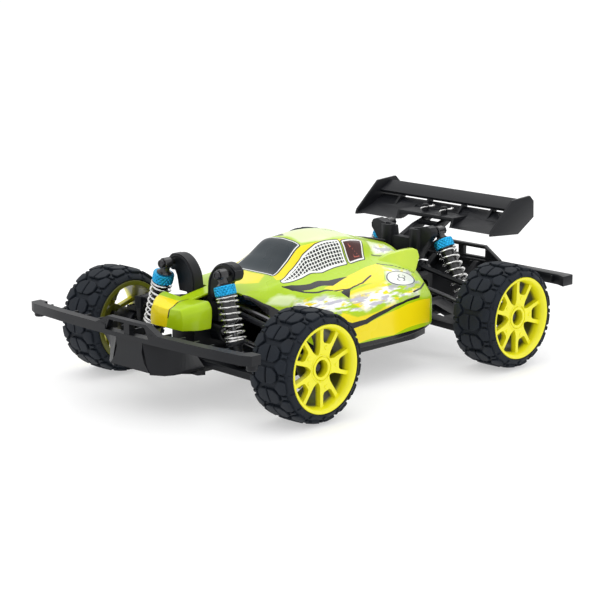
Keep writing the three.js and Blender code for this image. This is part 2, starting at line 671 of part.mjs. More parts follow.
function lowerArm(shockFoot, earOutboard) {
  const inner = ARM_INNER_LENGTH / 2;
  const outer = ARM_OUTER_LENGTH / 2;
  const half = ARM_THICKNESS / 2;
  const fork = CARRIER_HALF_DEPTH + RUNNING_GAP;
  const outline = [[0, -inner], [9, -inner], [ARM_LENGTH, -outer], [ARM_LENGTH, outer], [9, inner], [0, inner]];
  const web = plate(outline, "xy", -half, half);
  const tube = crossBar(0, 0, 0, EYE_RADIUS, ARM_INNER_LENGTH, 12);
  const ends = crossBar(ARM_LENGTH, 0, 0, EYE_RADIUS, ARM_OUTER_LENGTH, 12);
  const mouth = box(ARM_LENGTH - 6, ARM_LENGTH + 6, -fork, fork, -6, 6);
  const light = plate([[7, -8], [25, -4], [25, 4], [7, 8]], "xy", -half - 1, half + 1);
  const bore = crossBar(0, 0, 0, PIN_RADIUS + CLEARANCE, ARM_INNER_LENGTH + 2);
  const pin = crossBar(ARM_LENGTH, 0, 0, PIN_RADIUS, ARM_OUTER_LENGTH - 1);
  const flat = join(cut(join(web, tube, ends), mouth, light, bore), pin);
  const level = flat.rotate([0, THREE.MathUtils.radToDeg(ARM_SLOPE), 0]);
  const [footX, footZ] = shockFoot;
  const x = footX - INNER_PIVOT_X;
  const z = footZ - LOWER_PIVOT_Z;
  const lineZ = -x * Math.tan(ARM_SLOPE);
  const end = earOutboard ? 1 : -1;
  const earFace = SHOCK_SETBACK + end * (SHOCK_EYE_LENGTH / 2 + RUNNING_GAP);
  const earBack = earFace + end * 2.2;
  const [near, far] = [Math.min(earFace, earBack), Math.max(earFace, earBack)];
  const ear = facePlate([[x - 5, lineZ - 1], [x - 2.6, z + 2.4], [x + 2.6, z + 2.4], [x + 3.4, lineZ - 1.6]], near, far);
  const pinEnd = SHOCK_SETBACK - end * (SHOCK_EYE_LENGTH / 2 + 1);
  const footPin = bar([x, earFace + end, z], [x, pinEnd, z], PIN_RADIUS);
  const shelf = box(x - 5, x + 2.5, fork, far, lineZ - 1.9, lineZ + 0.4);
  return earOutboard ? join(level, ear, footPin, shelf) : join(level, ear, footPin);
}

function upperLink() {
  const half = LINK_EYE_LENGTH / 2;
  const rod = bar([0, 0, 0], [ARM_REACH, 0, -ARM_DROP], LINK_RADIUS);
  const eyes = [[0, 0], [ARM_REACH, -ARM_DROP]].map(([x, z]) => crossBar(x, 0, z, EYE_RADIUS, 2 * half));
  const bores = [[0, 0], [ARM_REACH, -ARM_DROP]].map(([x, z]) => crossBar(x, 0, z, PIN_RADIUS + CLEARANCE, 2 * half + 2));
  return cut(join(rod, ...eyes), ...bores);
}

// The ears and pin that hold an upper link, and the boss that the lower arm holds.
function carrierEnds(upperZ, lowerZ, webX) {
  const gap = LINK_EYE_LENGTH / 2 + RUNNING_GAP;
  const parts = [];
  for (const end of [-1, 1]) {
    const a = end * gap;
    const b = end * (gap + 1.7);
    parts.push(box(webX, OUTER_PIVOT_X + 3, Math.min(a, b), Math.max(a, b), upperZ - 6.6, upperZ + 2.6));
  }
  parts.push(crossBar(OUTER_PIVOT_X, 0, upperZ, PIN_RADIUS, 2 * gap + 2));
  parts.push(cut(
    crossBar(OUTER_PIVOT_X, 0, lowerZ, EYE_RADIUS, 2 * CARRIER_HALF_DEPTH, 12),
    crossBar(OUTER_PIVOT_X, 0, lowerZ, PIN_RADIUS + CLEARANCE, 2 * CARRIER_HALF_DEPTH + 2),
  ));
  return parts;
}

function casterBlock() {
  const upperZ = FRONT_UPPER_PIVOT_Z - ARM_DROP;
  const lowerZ = LOWER_PIVOT_Z - ARM_DROP;
  const topArm = AXLE_Z + UPRIGHT_RADIUS + RUNNING_GAP;
  const bottomArm = AXLE_Z - UPRIGHT_RADIUS - RUNNING_GAP;
  const webX = 53.2;
  const webFace = 57;
  const d = CARRIER_HALF_DEPTH;
  const web = box(webX, webFace, -d, d, lowerZ + 4.3, topArm + 2.6);
  const top = box(webX, KINGPIN_X + 3.6, -4.2, 4.2, topArm, topArm + 2.6);
  const bottom = box(webX + 2, KINGPIN_X + 3.6, -4.2, 4.2, bottomArm - 2.6, bottomArm);
  const bottomWeb = box(OUTER_PIVOT_X - 1, webFace, -d, d, lowerZ + 2.4, lowerZ + 5);
  const boneWay = bar([webX - 2, 0, AXLE_Z + 1.6], [webFace + 1, 0, AXLE_Z + 1], 4.4, 12);
  const kingpinBore = bar([KINGPIN_X, 0, 10], [KINGPIN_X, 0, 60], PIN_RADIUS + CLEARANCE);
  const clevis = box(webX - 1, OUTER_PIVOT_X + EYE_RADIUS + RUNNING_GAP, -3.4, 3.4, upperZ - EYE_RADIUS - RUNNING_GAP, upperZ + 6);
  const frame = cut(join(web, top, bottom, bottomWeb), boneWay, kingpinBore, clevis);
  return join(frame, ...carrierEnds(upperZ, lowerZ, webX));
}

function uprightBody() {
  const ring = bar([KINGPIN_X - 3, 0, AXLE_Z], [76, 0, AXLE_Z], UPRIGHT_RADIUS, 16);
  const cupWay = bar([KINGPIN_X - 9, 0, AXLE_Z], [72.6, 0, AXLE_Z], AXLE_CUP_RADIUS + RUNNING_GAP, 16);
  const shaftWay = bar([70, 0, AXLE_Z], [78, 0, AXLE_Z], AXLE_RADIUS + RUNNING_GAP, 12);
  return cut(ring, cupWay, shaftWay);
}

function steeringKnuckle() {
  const postY = -STEERING_LEVER;
  const postTop = TIE_ROD_END_Z - TIE_EYE_HALF_HEIGHT - 3.2;
  const kingpins = [-1, 1].map((side) => {
    const start = AXLE_Z + side * (AXLE_CUP_RADIUS + RUNNING_GAP + 0.6);
    return bar([KINGPIN_X, 0, start], [KINGPIN_X, 0, AXLE_Z + side * (UPRIGHT_RADIUS + 3.4)], PIN_RADIUS);
  });
  const post = bar([KINGPIN_X, postY, AXLE_Z + 3], [KINGPIN_X, postY, postTop], 2.2);
  const stud = bar([KINGPIN_X, postY, postTop - 1], [KINGPIN_X, postY, TIE_ROD_END_Z + 3], 1);
  return join(uprightBody(), ...kingpins, post, stud);
}

function tieRod() {
  const rod = bar([0, 0, 0], [TIE_ROD_REACH, 0, TIE_ROD_END_Z - FRONT_UPPER_PIVOT_Z], 1.4);
  const drop = TIE_ROD_END_Z - FRONT_UPPER_PIVOT_Z;
  const eyeFoot = [TIE_ROD_REACH, 0, drop - TIE_EYE_HALF_HEIGHT];
  const eyeTop = [TIE_ROD_REACH, 0, drop + TIE_EYE_HALF_HEIGHT];
  const eye = bar(eyeFoot, eyeTop, 3.4, 12);
  const eyeBore = bar([TIE_ROD_REACH, 0, drop - 4], [TIE_ROD_REACH, 0, drop + 4], 2.3, 12);
  return cut(join(rod, ball(0, 0, 0, BONE_BALL_RADIUS - 0.4), eye), eyeBore);
}

function hubCarrier() {
  const upperZ = REAR_UPPER_PIVOT_Z - ARM_DROP;
  const lowerZ = LOWER_PIVOT_Z - ARM_DROP;
  const webX = 54.4;
  const d = CARRIER_HALF_DEPTH - 0.5;
  const webs = [-1, 1].map((side) => {
    const outline = [[webX, upperZ - 4.6], [KINGPIN_X - 2.8, upperZ - 4.6], [KINGPIN_X + 3, AXLE_Z], [KINGPIN_X - 2.8, lowerZ + 2.5], [webX, lowerZ + 2.5]];
    return facePlate(outline, Math.min(side * d, side * (d - 2)), Math.max(side * d, side * (d - 2)));
  });
  const caps = [
    box(webX, KINGPIN_X - 2.8, -d, d, upperZ - 6.4, upperZ - 4.2),
    box(webX, KINGPIN_X - 2.8, -d, d, lowerZ + 2.2, lowerZ + 4.6),
  ];
  const way = bar([50, 0, AXLE_Z], [72.6, 0, AXLE_Z], AXLE_CUP_RADIUS + RUNNING_GAP, 16);
  return join(cut(join(...webs, ...caps), way), uprightBody(), ...carrierEnds(upperZ, lowerZ, webX));
}

// ---- wheels, about their own centre, with +X pointing out ----

function tyre() {
  const flat = TYRE_RADIUS / Math.cos(Math.PI / TYRE_SIDES);
  const half = HALF_TYRE;
  const lip = RIM_BARREL_RADIUS + RIM_LIP_HEIGHT + CLEARANCE + 0.2;
  const profile = [
    [-half + 2.6, TYRE_BEAD_RADIUS],
    [-half + 1.9, lip],
    [-half + 0.5, lip],
    [-half, flat - 4.6],
    [-half + 0.6, flat - 2.4],
    [-half + 4, flat],
    [half - 4, flat],
    [half - 0.6, flat - 2.4],
    [half, flat - 4.6],
    [half - 0.5, lip],
    [half - 1.9, lip],
    [half - 2.6, TYRE_BEAD_RADIUS],
    [-half + 2.6, TYRE_BEAD_RADIUS],
  ];
  return turned(profile, TYRE_SIDES);
}

function spokePair(angle) {
  const outer = RIM_BARREL_RADIUS - RIM_WALL / 2;
  const outline = [
    [-3.8, HUB_RADIUS - 1.5],
    [-8.4, outer - 1.2],
    [-5, outer],
    [-2, 14.2],
    [2, 14.2],
    [5, outer],
    [8.4, outer - 1.2],
    [3.8, HUB_RADIUS - 1.5],
  ];
  const flat = plate(outline, "yz", RIM_FACE_X - SPOKE_THICKNESS, RIM_FACE_X);
  return flat.rotate([angle, 0, 0]);
}

function rim() {
  const half = HALF_TYRE;
  const outer = RIM_BARREL_RADIUS;
  const inner = outer - RIM_WALL;
  const lip = outer + RIM_LIP_HEIGHT;
  const barrel = turned([
    [-half, inner],
    [-half, lip],
    [-half + 1, lip],
    [-half + 1.6, outer],
    [half - 1.9 - CLEARANCE - 0.4, outer],
    [half - 1.3, lip],
    [half, lip],
    [half, lip - 1],
    [half - 2, inner],
    [-half, inner],
  ], TYRE_SIDES);
  const hub = bar([HUB_INNER_X, 0, 0], [RIM_FACE_X, 0, 0], HUB_RADIUS, 16);
  const bore = bar([-1, 0, 0], [half, 0, 0], AXLE_RADIUS + CLEARANCE, 12);
  const pocket = bar([RIM_FACE_X - NUT_POCKET_DEPTH, 0, 0], [half, 0, 0], NUT_RADIUS + 0.9, 12);
  const spokes = [];
  for (let i = 0; i < SPOKE_PAIRS; i += 1) {
    spokes.push(spokePair((360 / SPOKE_PAIRS) * i - 90));
  }
  return cut(join(barrel, hub, ...spokes), bore, pocket);
}

function wheelAxle() {
  const x = (place) => place - WHEEL_X;
  const cupMouth = KINGPIN_X - 3.5;
  const cupEnd = cupMouth + AXLE_CUP_DEPTH + 1.4;
  const inside = AXLE_CUP_RADIUS - AXLE_CUP_WALL;
  const hexEnd = WHEEL_X + HUB_INNER_X - CLEARANCE;
  const nutStart = WHEEL_X + RIM_FACE_X - NUT_POCKET_DEPTH + CLEARANCE;
  const profile = [
    [x(cupMouth + AXLE_CUP_DEPTH), 0],
    [x(cupMouth + AXLE_CUP_DEPTH), inside],
    [x(cupMouth), inside],
    [x(cupMouth), AXLE_CUP_RADIUS],
    [x(cupEnd), AXLE_CUP_RADIUS],
    [x(cupEnd), AXLE_RADIUS],
    [x(hexEnd - 4.5), AXLE_RADIUS],
    [x(hexEnd - 4.5), AXLE_HEX_RADIUS],
    [x(hexEnd), AXLE_HEX_RADIUS],
    [x(hexEnd), AXLE_RADIUS],
    [x(nutStart), AXLE_RADIUS],
    [x(nutStart), NUT_RADIUS],
    [x(nutStart + 4), NUT_RADIUS],
    [x(nutStart + 4), AXLE_RADIUS],
    [x(nutStart + 5.6), AXLE_RADIUS],
    [x(nutStart + 5.6), 0],
  ];
  return turned(profile, 10);
}

function dogbone() {
  const from = [BONE_INNER_X, 0, OUTPUT_Z];
  const to = [KINGPIN_X, 0, AXLE_Z];
  return join(bar(from, to, BONE_RADIUS, 8), ball(...from, BONE_BALL_RADIUS), ball(...to, BONE_END_RADIUS));
}

// ---- shocks, about their top pivot, with -Z pointing down along the shock ----

function shockBody(length) {
  const bodyEnd = length * 0.56;
  const eye = crossBar(0, 0, 0, SHOCK_EYE_RADIUS, SHOCK_EYE_LENGTH, 12);
  const eyeBore = crossBar(0, 0, 0, PIN_RADIUS + CLEARANCE, SHOCK_EYE_LENGTH + 2);
  const neck = bar([0, 0, -2], [0, 0, -7], 2.7);
  const cap = bar([0, 0, -6.4], [0, 0, -12.4], COLLAR_RADIUS, 14);
  const tube = bar([0, 0, -12], [0, 0, -bodyEnd], SHOCK_BODY_RADIUS, 12);
  const bore = bar([0, 0, -13], [0, 0, -bodyEnd - 1], SHOCK_ROD_RADIUS + RUNNING_GAP, 8);
  return cut(join(eye, neck, cap, tube), eyeBore, bore);
}

function shockRod(length) {
  const seat = -(length - 11.5);
  const rod = bar([0, 0, -24], [0, 0, -length + 2], SHOCK_ROD_RADIUS, 8);
  const plateSeat = bar([0, 0, seat], [0, 0, seat - 2], COLLAR_RADIUS, 14);
  const foot = bar([0, 0, seat - 1], [0, 0, -length + 2.4], 2.8, 8);
  const eyeRadius = PIN_RADIUS + SHOCK_FOOT_PLAY + 1;
  const eye = crossBar(0, 0, -length, eyeRadius, SHOCK_EYE_LENGTH, 12);
  const eyeBore = crossBar(0, 0, -length, PIN_RADIUS + SHOCK_FOOT_PLAY, SHOCK_EYE_LENGTH + 2);
  return cut(join(rod, plateSeat, foot, eye), eyeBore);
}

class Helix extends THREE.Curve {
  constructor(radius, top, bottom, turns) {
    super();
    Object.assign(this, { radius, top, bottom, turns });
  }
  getPoint(t) {
    const angle = 2 * Math.PI * this.turns * t;
    const z = this.top + (this.bottom - this.top) * t;
    return new THREE.Vector3(this.radius * Math.cos(angle), this.radius * Math.sin(angle), z);
  }
}

function spring(length) {
  const r = SPRING_WIRE_RADIUS;
  const top = -12.4 - CLEARANCE - r - 0.2;
  const bottom = -(length - 11.5) + CLEARANCE + r + 0.2;
  const wire = new THREE.Shape();
  wire.absarc(0, 0, r, 0, 2 * Math.PI);
  const path = new Helix(SPRING_RADIUS, top, bottom, SPRING_TURNS);
  const geometry = new THREE.ExtrudeGeometry(wire, {
    steps: SPRING_TURNS * 7,
    curveSegments: 3,
    extrudePath: path,
    bevelEnabled: false,
  });
  return solid(geometry);
}

// ---- the assembly ----

function named(name, manifold, finish) {
  const mesh = new THREE.Mesh(geometryOf(manifold), new THREE.MeshStandardMaterial(finish));
  mesh.name = name;
  return mesh;
}

const buggy = new THREE.Group();
const frontEnd = new THREE.Group();
frontEnd.rotation.z = Math.PI;
buggy.add(frontEnd);

buggy.add(named("chassis_tub", chassisTub(), BLACK_PLASTIC));
buggy.add(named("body_shell", bodyShell(), LIME_PAINT));
buggy.add(named("front_bumper", frontBumper(), BLACK_PLASTIC));
buggy.add(named("rear_bumper", rearBumper(), BLACK_PLASTIC));
buggy.add(named("rear_gearbox", gearbox(REAR_UPPER_PIVOT_Z, false), BLACK_PLASTIC));
buggy.add(named("rear_shock_tower", rearShockTower(), BLACK_PLASTIC));
buggy.add(named("wing_mount", wingMount(), BLACK_PLASTIC));
buggy.add(named("rear_wing", rearWing(), BLACK_PLASTIC));
buggy.add(named("centre_shaft", centreShaft(), DARK_STEEL));
buggy.add(named("drive_motor", driveMotor(), DARK_STEEL));
buggy.add(named("battery_pack", batteryPack(), BATTERY_WRAP));
buggy.add(named("receiver_box", receiverBox(), BLACK_PLASTIC));
buggy.add(named("steering_servo", steeringServo(), BLACK_PLASTIC));
frontEnd.add(named("front_gearbox", gearbox(FRONT_UPPER_PIVOT_Z, true), BLACK_PLASTIC));
frontEnd.add(named("front_shock_tower", frontShockTower(), BLACK_PLASTIC));
frontEnd.add(named("steering_rack", steeringRack(), DARK_STEEL));

const ENDS = {
  front: {
    upperPivotZ: FRONT_UPPER_PIVOT_Z,
    shockTop: FRONT_SHOCK_TOP,
    shockFoot: FRONT_SHOCK_FOOT,
    earOutboard: false,
  },
  rear: {
    upperPivotZ: REAR_UPPER_PIVOT_Z,
    shockTop: REAR_SHOCK_TOP,
    shockFoot: REAR_SHOCK_FOOT,
    earOutboard: true,
  },
};

// A corner is made at the left rear. The others are its mirror images, so a corner sits in a
// group that is turned round by a negative scale on X, on Y or on both.
function addCorner(end, side) {
  const { upperPivotZ, shockTop, shockFoot, earOutboard } = ENDS[end];
  const tag = end + "_" + side;
  const corner = new THREE.Group();
  corner.position.y = end === "front" ? -AXLE_Y : AXLE_Y;
  corner.scale.x = side === "left" ? 1 : -1;
  corner.scale.y = end === "front" ? -1 : 1;
  buggy.add(corner);

  const arm = named("lower_arm_" + tag, lowerArm(shockFoot, earOutboard), BLACK_PLASTIC);
  arm.position.set(INNER_PIVOT_X, 0, LOWER_PIVOT_Z);
  const link = named("upper_link_" + tag, upperLink(), BLACK_PLASTIC);
  link.position.set(INNER_PIVOT_X, 0, upperPivotZ);
  corner.add(arm, link);

  if (end === "front") {
    corner.add(named("caster_block_" + side, casterBlock(), BLACK_PLASTIC));
    corner.add(named("steering_knuckle_" + side, steeringKnuckle(), BLACK_PLASTIC));
    const rod = named("tie_rod_" + side, tieRod(), DARK_STEEL);
    rod.position.set(INNER_PIVOT_X, -STEERING_LEVER, FRONT_UPPER_PIVOT_Z);
    corner.add(rod);
  } else {
    corner.add(named("hub_carrier_" + side, hubCarrier(), BLACK_PLASTIC));
  }

  const wheel = new THREE.Group();
  wheel.position.set(WHEEL_X, 0, AXLE_Z);
  wheel.add(named("tyre_" + tag, tyre(), RUBBER));
  wheel.add(named("rim_" + tag, rim(), YELLOW_PLASTIC));
  wheel.add(named("wheel_axle_" + tag, wheelAxle(), DARK_STEEL));
  corner.add(wheel);
  corner.add(named("dogbone_" + tag, dogbone(), DARK_STEEL));

  const dx = shockFoot[0] - shockTop[0];
  const dz = shockFoot[1] - shockTop[1];
  const length = Math.hypot(dx, dz);
  const shock = new THREE.Group();
  shock.position.set(shockTop[0], SHOCK_SETBACK, shockTop[1]);
  shock.rotation.y = -Math.atan2(dx, -dz);
  shock.add(named("shock_body_" + tag, shockBody(length), BLACK_PLASTIC));
  shock.add(named("shock_rod_" + tag, shockRod(length), DARK_STEEL));
  shock.add(named("spring_" + tag, spring(length), BRIGHT_STEEL));
  corner.add(shock);
}

for (const end of ["front", "rear"]) {
  for (const side of ["left", "right"]) {
    addCorner(end, side);
  }
}

export default buggy;
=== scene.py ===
"""Looks of the four-wheel-drive RC buggy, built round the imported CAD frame.

Every piece is a numpy surface in metres: a grid of two parameters, a turned profile, an
outline with a thickness or a section carried along a path. The front is -Y, the left side is
+X and the ground is z = 0.
"""
import json
import math

import bmesh
import bpy
import numpy as np
from bpy.props import FloatProperty, FloatVectorProperty, IntProperty, PointerProperty
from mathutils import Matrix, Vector


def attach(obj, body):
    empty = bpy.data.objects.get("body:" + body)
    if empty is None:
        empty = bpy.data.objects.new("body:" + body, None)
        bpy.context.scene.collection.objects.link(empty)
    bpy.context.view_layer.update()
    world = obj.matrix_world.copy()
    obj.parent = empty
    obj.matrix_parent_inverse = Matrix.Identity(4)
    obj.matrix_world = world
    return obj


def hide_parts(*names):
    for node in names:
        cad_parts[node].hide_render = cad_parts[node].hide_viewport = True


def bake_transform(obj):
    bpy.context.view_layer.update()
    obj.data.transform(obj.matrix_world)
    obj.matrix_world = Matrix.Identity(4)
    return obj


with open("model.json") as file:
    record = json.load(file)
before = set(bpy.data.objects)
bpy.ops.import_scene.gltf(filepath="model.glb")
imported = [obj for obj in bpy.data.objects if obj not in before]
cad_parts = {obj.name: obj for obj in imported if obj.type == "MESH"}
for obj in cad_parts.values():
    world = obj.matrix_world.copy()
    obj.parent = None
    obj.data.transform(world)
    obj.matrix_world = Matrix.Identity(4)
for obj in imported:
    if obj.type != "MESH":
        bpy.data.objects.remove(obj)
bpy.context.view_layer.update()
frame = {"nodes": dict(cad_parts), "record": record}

bl_info = {
    "name": "RC Buggy",
    "version": (1, 0, 0),
    "blender": (4, 5, 0),
    "location": "3D View > Sidebar > Buggy",
    "description": "Builds the shell, wheels, shocks, bumpers and wing of a radio controlled buggy",
    "category": "Object",
}

MM = 0.001
BODIES = frame["record"]["behaviour"]["bodies"]
BODY_OF = {node: body for body, nodes in BODIES.items() for node in nodes}
CORNERS = [("front_left", 1, -1), ("front_right", -1, -1), ("rear_left", 1, 1), ("rear_right", -1, 1)]

AXLE_Y = 88.5
WHEEL_X = 84.0
AXLE_Z = 33.0
SHOCK_SETBACK = 9.5
SHOCK_TOP = {"front": (24.3, 77.9), "rear": (22.0, 77.0)}
SHOCK_FOOT = {"front": (40.0, 29.0), "rear": (52.5, 27.0)}


# ---- surfaces ----

def surface(points, wrap=False):
    """Quads over a grid of points: each joins (r, c), (r + 1, c), (r + 1, c + 1), (r, c + 1)."""
    rows, columns = points.shape[:2]
    index = np.arange(rows * columns).reshape(rows, columns)
    if wrap:
        index = np.concatenate([index, index[:, :1]], axis=1)
    corners = [index[:-1, :-1], index[1:, :-1], index[1:, 1:], index[:-1, 1:]]
    quads = np.stack(corners, axis=-1).reshape(-1, 4)
    return points.reshape(-1, 3), quads.tolist()


def tube(points):
    """A closed section at each row of the grid, with a flat cap on the first and the last."""
    rows, columns = points.shape[:2]
    verts, faces = surface(points, wrap=True)
    ring = np.arange(columns)
    return verts, faces + [ring.tolist(), (ring[::-1] + (rows - 1) * columns).tolist()]


def joined(*shapes):
    """Several shapes as one: the second's faces count on from the first's points."""
    shapes = [s for s in shapes if len(s[0])]
    starts = np.cumsum([0] + [len(s[0]) for s in shapes[:-1]])
    faces = [[i + int(start) for i in face] for s, start in zip(shapes, starts) for face in s[1]]
    return np.concatenate([s[0] for s in shapes]), faces


def moved(shape, offset):
    return shape[0] + np.asarray(offset, float), shape[1]


def scaled(shape, factors):
    """The shape times a factor on each axis, with its faces turned round if that mirrors it."""
    flip = np.prod(factors) < 0
    faces = [face[::-1] for face in shape[1]] if flip else shape[1]
    return shape[0] * np.asarray(factors, float), faces


def both_sides(shape):
    return joined(shape, scaled(shape, (-1, 1, 1)))


def turned(profile, sides=64, axis="x"):
    """[along, radius] points carried round the axis: (a, r cos t, r sin t), t from 0 to 2 pi."""
    along, radius = np.asarray(profile, float).T
    t = np.linspace(0, 2 * np.pi, sides, endpoint=False)
    ring = np.stack([np.cos(t), np.sin(t)], axis=-1)
    across = radius[:, None, None] * ring
    column = np.broadcast_to(along[:, None, None], across.shape[:2] + (1,))
    points = np.concatenate([column, across], axis=-1)
    return surface(points[..., {"x": [0, 1, 2], "y": [1, 0, 2], "z": [1, 2, 0]}[axis]], wrap=True)


def outline_plate(outline, plane, start, end):
    """A flat outline in two axes, carried straight along the third from start to end."""
    flat = np.asarray(outline, float)
    levels = np.array([start, end])[:, None, None]
    depth = np.broadcast_to(levels, (2, len(flat), 1))
    ring = np.concatenate([np.broadcast_to(flat, (2,) + flat.shape), depth], axis=-1)
    return tube(ring[..., {"xy": [0, 1, 2], "xz": [0, 2, 1], "yz": [2, 0, 1]}[plane]])


def smooth_line(points, count, closed=False):
    """A Catmull-Rom curve through the points: each span blends its four nearest points."""
    points = np.asarray(points, float)
    if closed:
        padded = np.concatenate([points[-1:], points, points[:2]])
    else:
        first, last = 2 * points[0] - points[1], 2 * points[-1] - points[-2]
        padded = np.concatenate([[first], points, [last]])
    spans = len(padded) - 3
    at = np.linspace(0, spans, count, endpoint=not closed)
    span = np.minimum(at.astype(int), spans - 1)
    t = (at - span)[:, None]
    a, b, c, d = (padded[span + k] for k in range(4))
    return 0.5 * (2 * b + (c - a) * t + (2 * a - 5 * b + 4 * c - d) * t**2 + (3 * b - a - 3 * c + d) * t**3)


def rod(path, radius, sides=10):
    """A circle carried along a path, square to it, its radius given once or for each point."""
    path = np.asarray(path, float)
    along = np.gradient(path, axis=0)
    along /= np.linalg.norm(along, axis=1, keepdims=True)
    spread = np.ptp(path, axis=0)
    side_hint = np.eye(3)[int(np.argmin(spread))]
    u = np.cross(along, side_hint)
    u /= np.linalg.norm(u, axis=1, keepdims=True)
    v = np.cross(along, u)
    t = np.linspace(0, 2 * np.pi, sides, endpoint=False)
    r = np.broadcast_to(radius, len(path))[:, None, None]
    ring = u[:, None] * np.cos(t)[None, :, None] + v[:, None] * np.sin(t)[None, :, None]
    return tube(path[:, None] + r * ring)


def placed(shape, origin, x_axis, y_axis, z_axis):
    """Local x, y and z carried to three given directions at a given origin."""
    basis = np.array([x_axis, y_axis, z_axis], float)
    return shape[0] @ basis + np.asarray(origin, float), shape[1]


# ---- objects ----

def made(name, mesh, finish, body, slot, bevel=0.0, wall=0.0, crease=32.0, stands_for=()):
    """Puts a mesh in the scene with its finish, its rounded edges and the body it rides on."""
    mesh.materials.clear()
    mesh.materials.append(finish)
    mesh.polygons.foreach_set("use_smooth", np.ones(len(mesh.polygons), bool))
    if not bevel:
        mesh.set_sharp_from_angle(angle=math.radians(crease))
    piece = bpy.data.objects.new(name, mesh)
    bpy.context.scene.collection.objects.link(piece)
    if wall:
        solidify = piece.modifiers.new("wall", "SOLIDIFY")
        solidify.thickness = wall * MM
        solidify.offset = -1
    if bevel:
        rounding = piece.modifiers.new("rounding", "BEVEL")
        rounding.width = bevel * MM
        rounding.segments = 2
        rounding.limit_method = "ANGLE"
        rounding.angle_limit = math.radians(crease)
        rounding.use_clamp_overlap = True
        rounding.harden_normals = True
    if body:
        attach(piece, body)
    if stands_for:
        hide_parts(*stands_for)
    return piece


def mesh_of(name, shape):
    """A closed mesh in metres from a shape in millimetres, its doubles merged, facing out."""
    mesh = bpy.data.meshes.new(name)
    mesh.from_pydata((shape[0] * MM).tolist(), [], shape[1])
    work = bmesh.new()
    work.from_mesh(mesh)
    bmesh.ops.remove_doubles(work, verts=work.verts, dist=3e-6)
    bmesh.ops.recalc_face_normals(work, faces=work.faces)
    work.to_mesh(mesh)
    work.free()
    return mesh


def piece_of(name, shape, finish, body, slot, **more):
    return made(name, mesh_of(name, shape), finish, body, slot, **more)


def refined(node, finish, slot, bevel=0.4, extra=None):
    """The CAD node's own shape, its triangles merged to flats and its edges rounded."""
    work = bmesh.new()
    work.from_mesh(frame["nodes"][node].data)
    bmesh.ops.remove_doubles(work, verts=work.verts, dist=8e-6)
    bmesh.ops.dissolve_limit(work, angle_limit=math.radians(2), verts=work.verts, edges=work.edges)
    mesh = bpy.data.meshes.new(node + "_look")
    if extra:
        added = bpy.data.meshes.new(node + "_extra")
        added.from_pydata((extra[0] * MM).tolist(), [], extra[1])
        other = bmesh.new()
        other.from_mesh(added)
        bmesh.ops.remove_doubles(other, verts=other.verts, dist=3e-6)
        bmesh.ops.recalc_face_normals(other, faces=other.faces)
        other.to_mesh(added)
        other.free()
        work.from_mesh(added)
        bpy.data.meshes.remove(added)
    work.to_mesh(mesh)
    work.free()
    name = node + "_look"
    return made(name, mesh, finish, BODY_OF[node], slot, bevel=bevel, stands_for=(node,))


# ---- shader expressions ----

class Socket:
    """One output of a node tree. Arithmetic on it adds Math nodes."""

    def __init__(self, finish, link):
        self.finish = finish
        self.link = link

    def math(self, operation, *others):
        values = dict(enumerate((self,) + others))
        return self.finish.node("ShaderNodeMath", {"operation": operation}, values)

    def __add__(self, other):
        return self.math("ADD", other)

    def __sub__(self, other):
        return self.math("SUBTRACT", other)

    def __mul__(self, other):
        return self.math("MULTIPLY", other)

    def __rsub__(self, other):
        return self.finish.node("ShaderNodeMath", {"operation": "SUBTRACT"}, {0: other, 1: self})

    __radd__ = __add__
    __rmul__ = __mul__

    def below(self, limit):
        return self.math("LESS_THAN", limit)

    def above(self, limit):
        return self.math("GREATER_THAN", limit)


class Finish:
    """A material whose surface is built with node() and expressions on its sockets."""

    def __init__(self, name, **constants):
        self.material = bpy.data.materials.new(name)
        self.material.use_nodes = True
        self.tree = self.material.node_tree
        self.shader = self.tree.nodes["Principled BSDF"]
        for socket, value in constants.items():
            self.shader.inputs[socket.replace("_", " ")].default_value = value
        self.place = self.node("ShaderNodeTexCoord", output="Object")

    def node(self, kind, settings=None, values=None, output=0):
        made_node = self.tree.nodes.new(kind)
        for key, value in (settings or {}).items():
            if key == "stops":
                ramp = made_node.color_ramp
                while len(ramp.elements) < len(value):
                    ramp.elements.new(1.0)
                for element, (position, shade) in zip(ramp.elements, value):
                    element.position = position
                    element.color = (shade, shade, shade, 1)
            else:
                setattr(made_node, key, value)
        for key, value in (values or {}).items():
            self.feed(made_node.inputs[key], value)
        return Socket(self, made_node.outputs[output])

    def feed(self, target, value):
        if isinstance(value, Socket):
            self.tree.links.new(value.link, target)
        else:
            target.default_value = value

    def into(self, name, value):
        self.feed(self.shader.inputs[name], value)

    def noise(self, scale, detail=3.0, stretch=None):
        """Soft noise, 0 to 1, with `scale` lumps a metre, drawn out along an axis by `stretch`."""
        place = self.place
        if stretch:
            place = self.node("ShaderNodeMapping", None, {"Vector": place, "Scale": stretch})
        return self.node("ShaderNodeTexNoise", None, {"Vector": place, "Scale": scale, "Detail": detail})

    def ramp(self, value, stops):
        return self.node("ShaderNodeValToRGB", {"stops": stops}, {0: value})

    def mix(self, factor, first, second):
        return self.node("ShaderNodeMix", {"data_type": "RGBA"}, {0: factor, 6: first, 7: second}, 2)

    def bump(self, height, depth, strength=1.0):
        """Relief of `height` times `depth` millimetres."""
        relief = {"Height": height, "Distance": depth * MM, "Strength": strength}
        self.into("Normal", self.node("ShaderNodeBump", None, relief))

    def measure(self, name):
        return self.node("ShaderNodeAttribute", {"attribute_name": name}, None, "Fac")


def colour(r, g, b):
    return (r, g, b, 1.0)


def shades(name):
    """The deeper and the lighter colour of a finish, from the colour settings."""
    colours = bpy.context.scene.buggy_colours
    return tuple(getattr(colours, name)), tuple(getattr(colours, name + "_light"))


FINISHES = {}


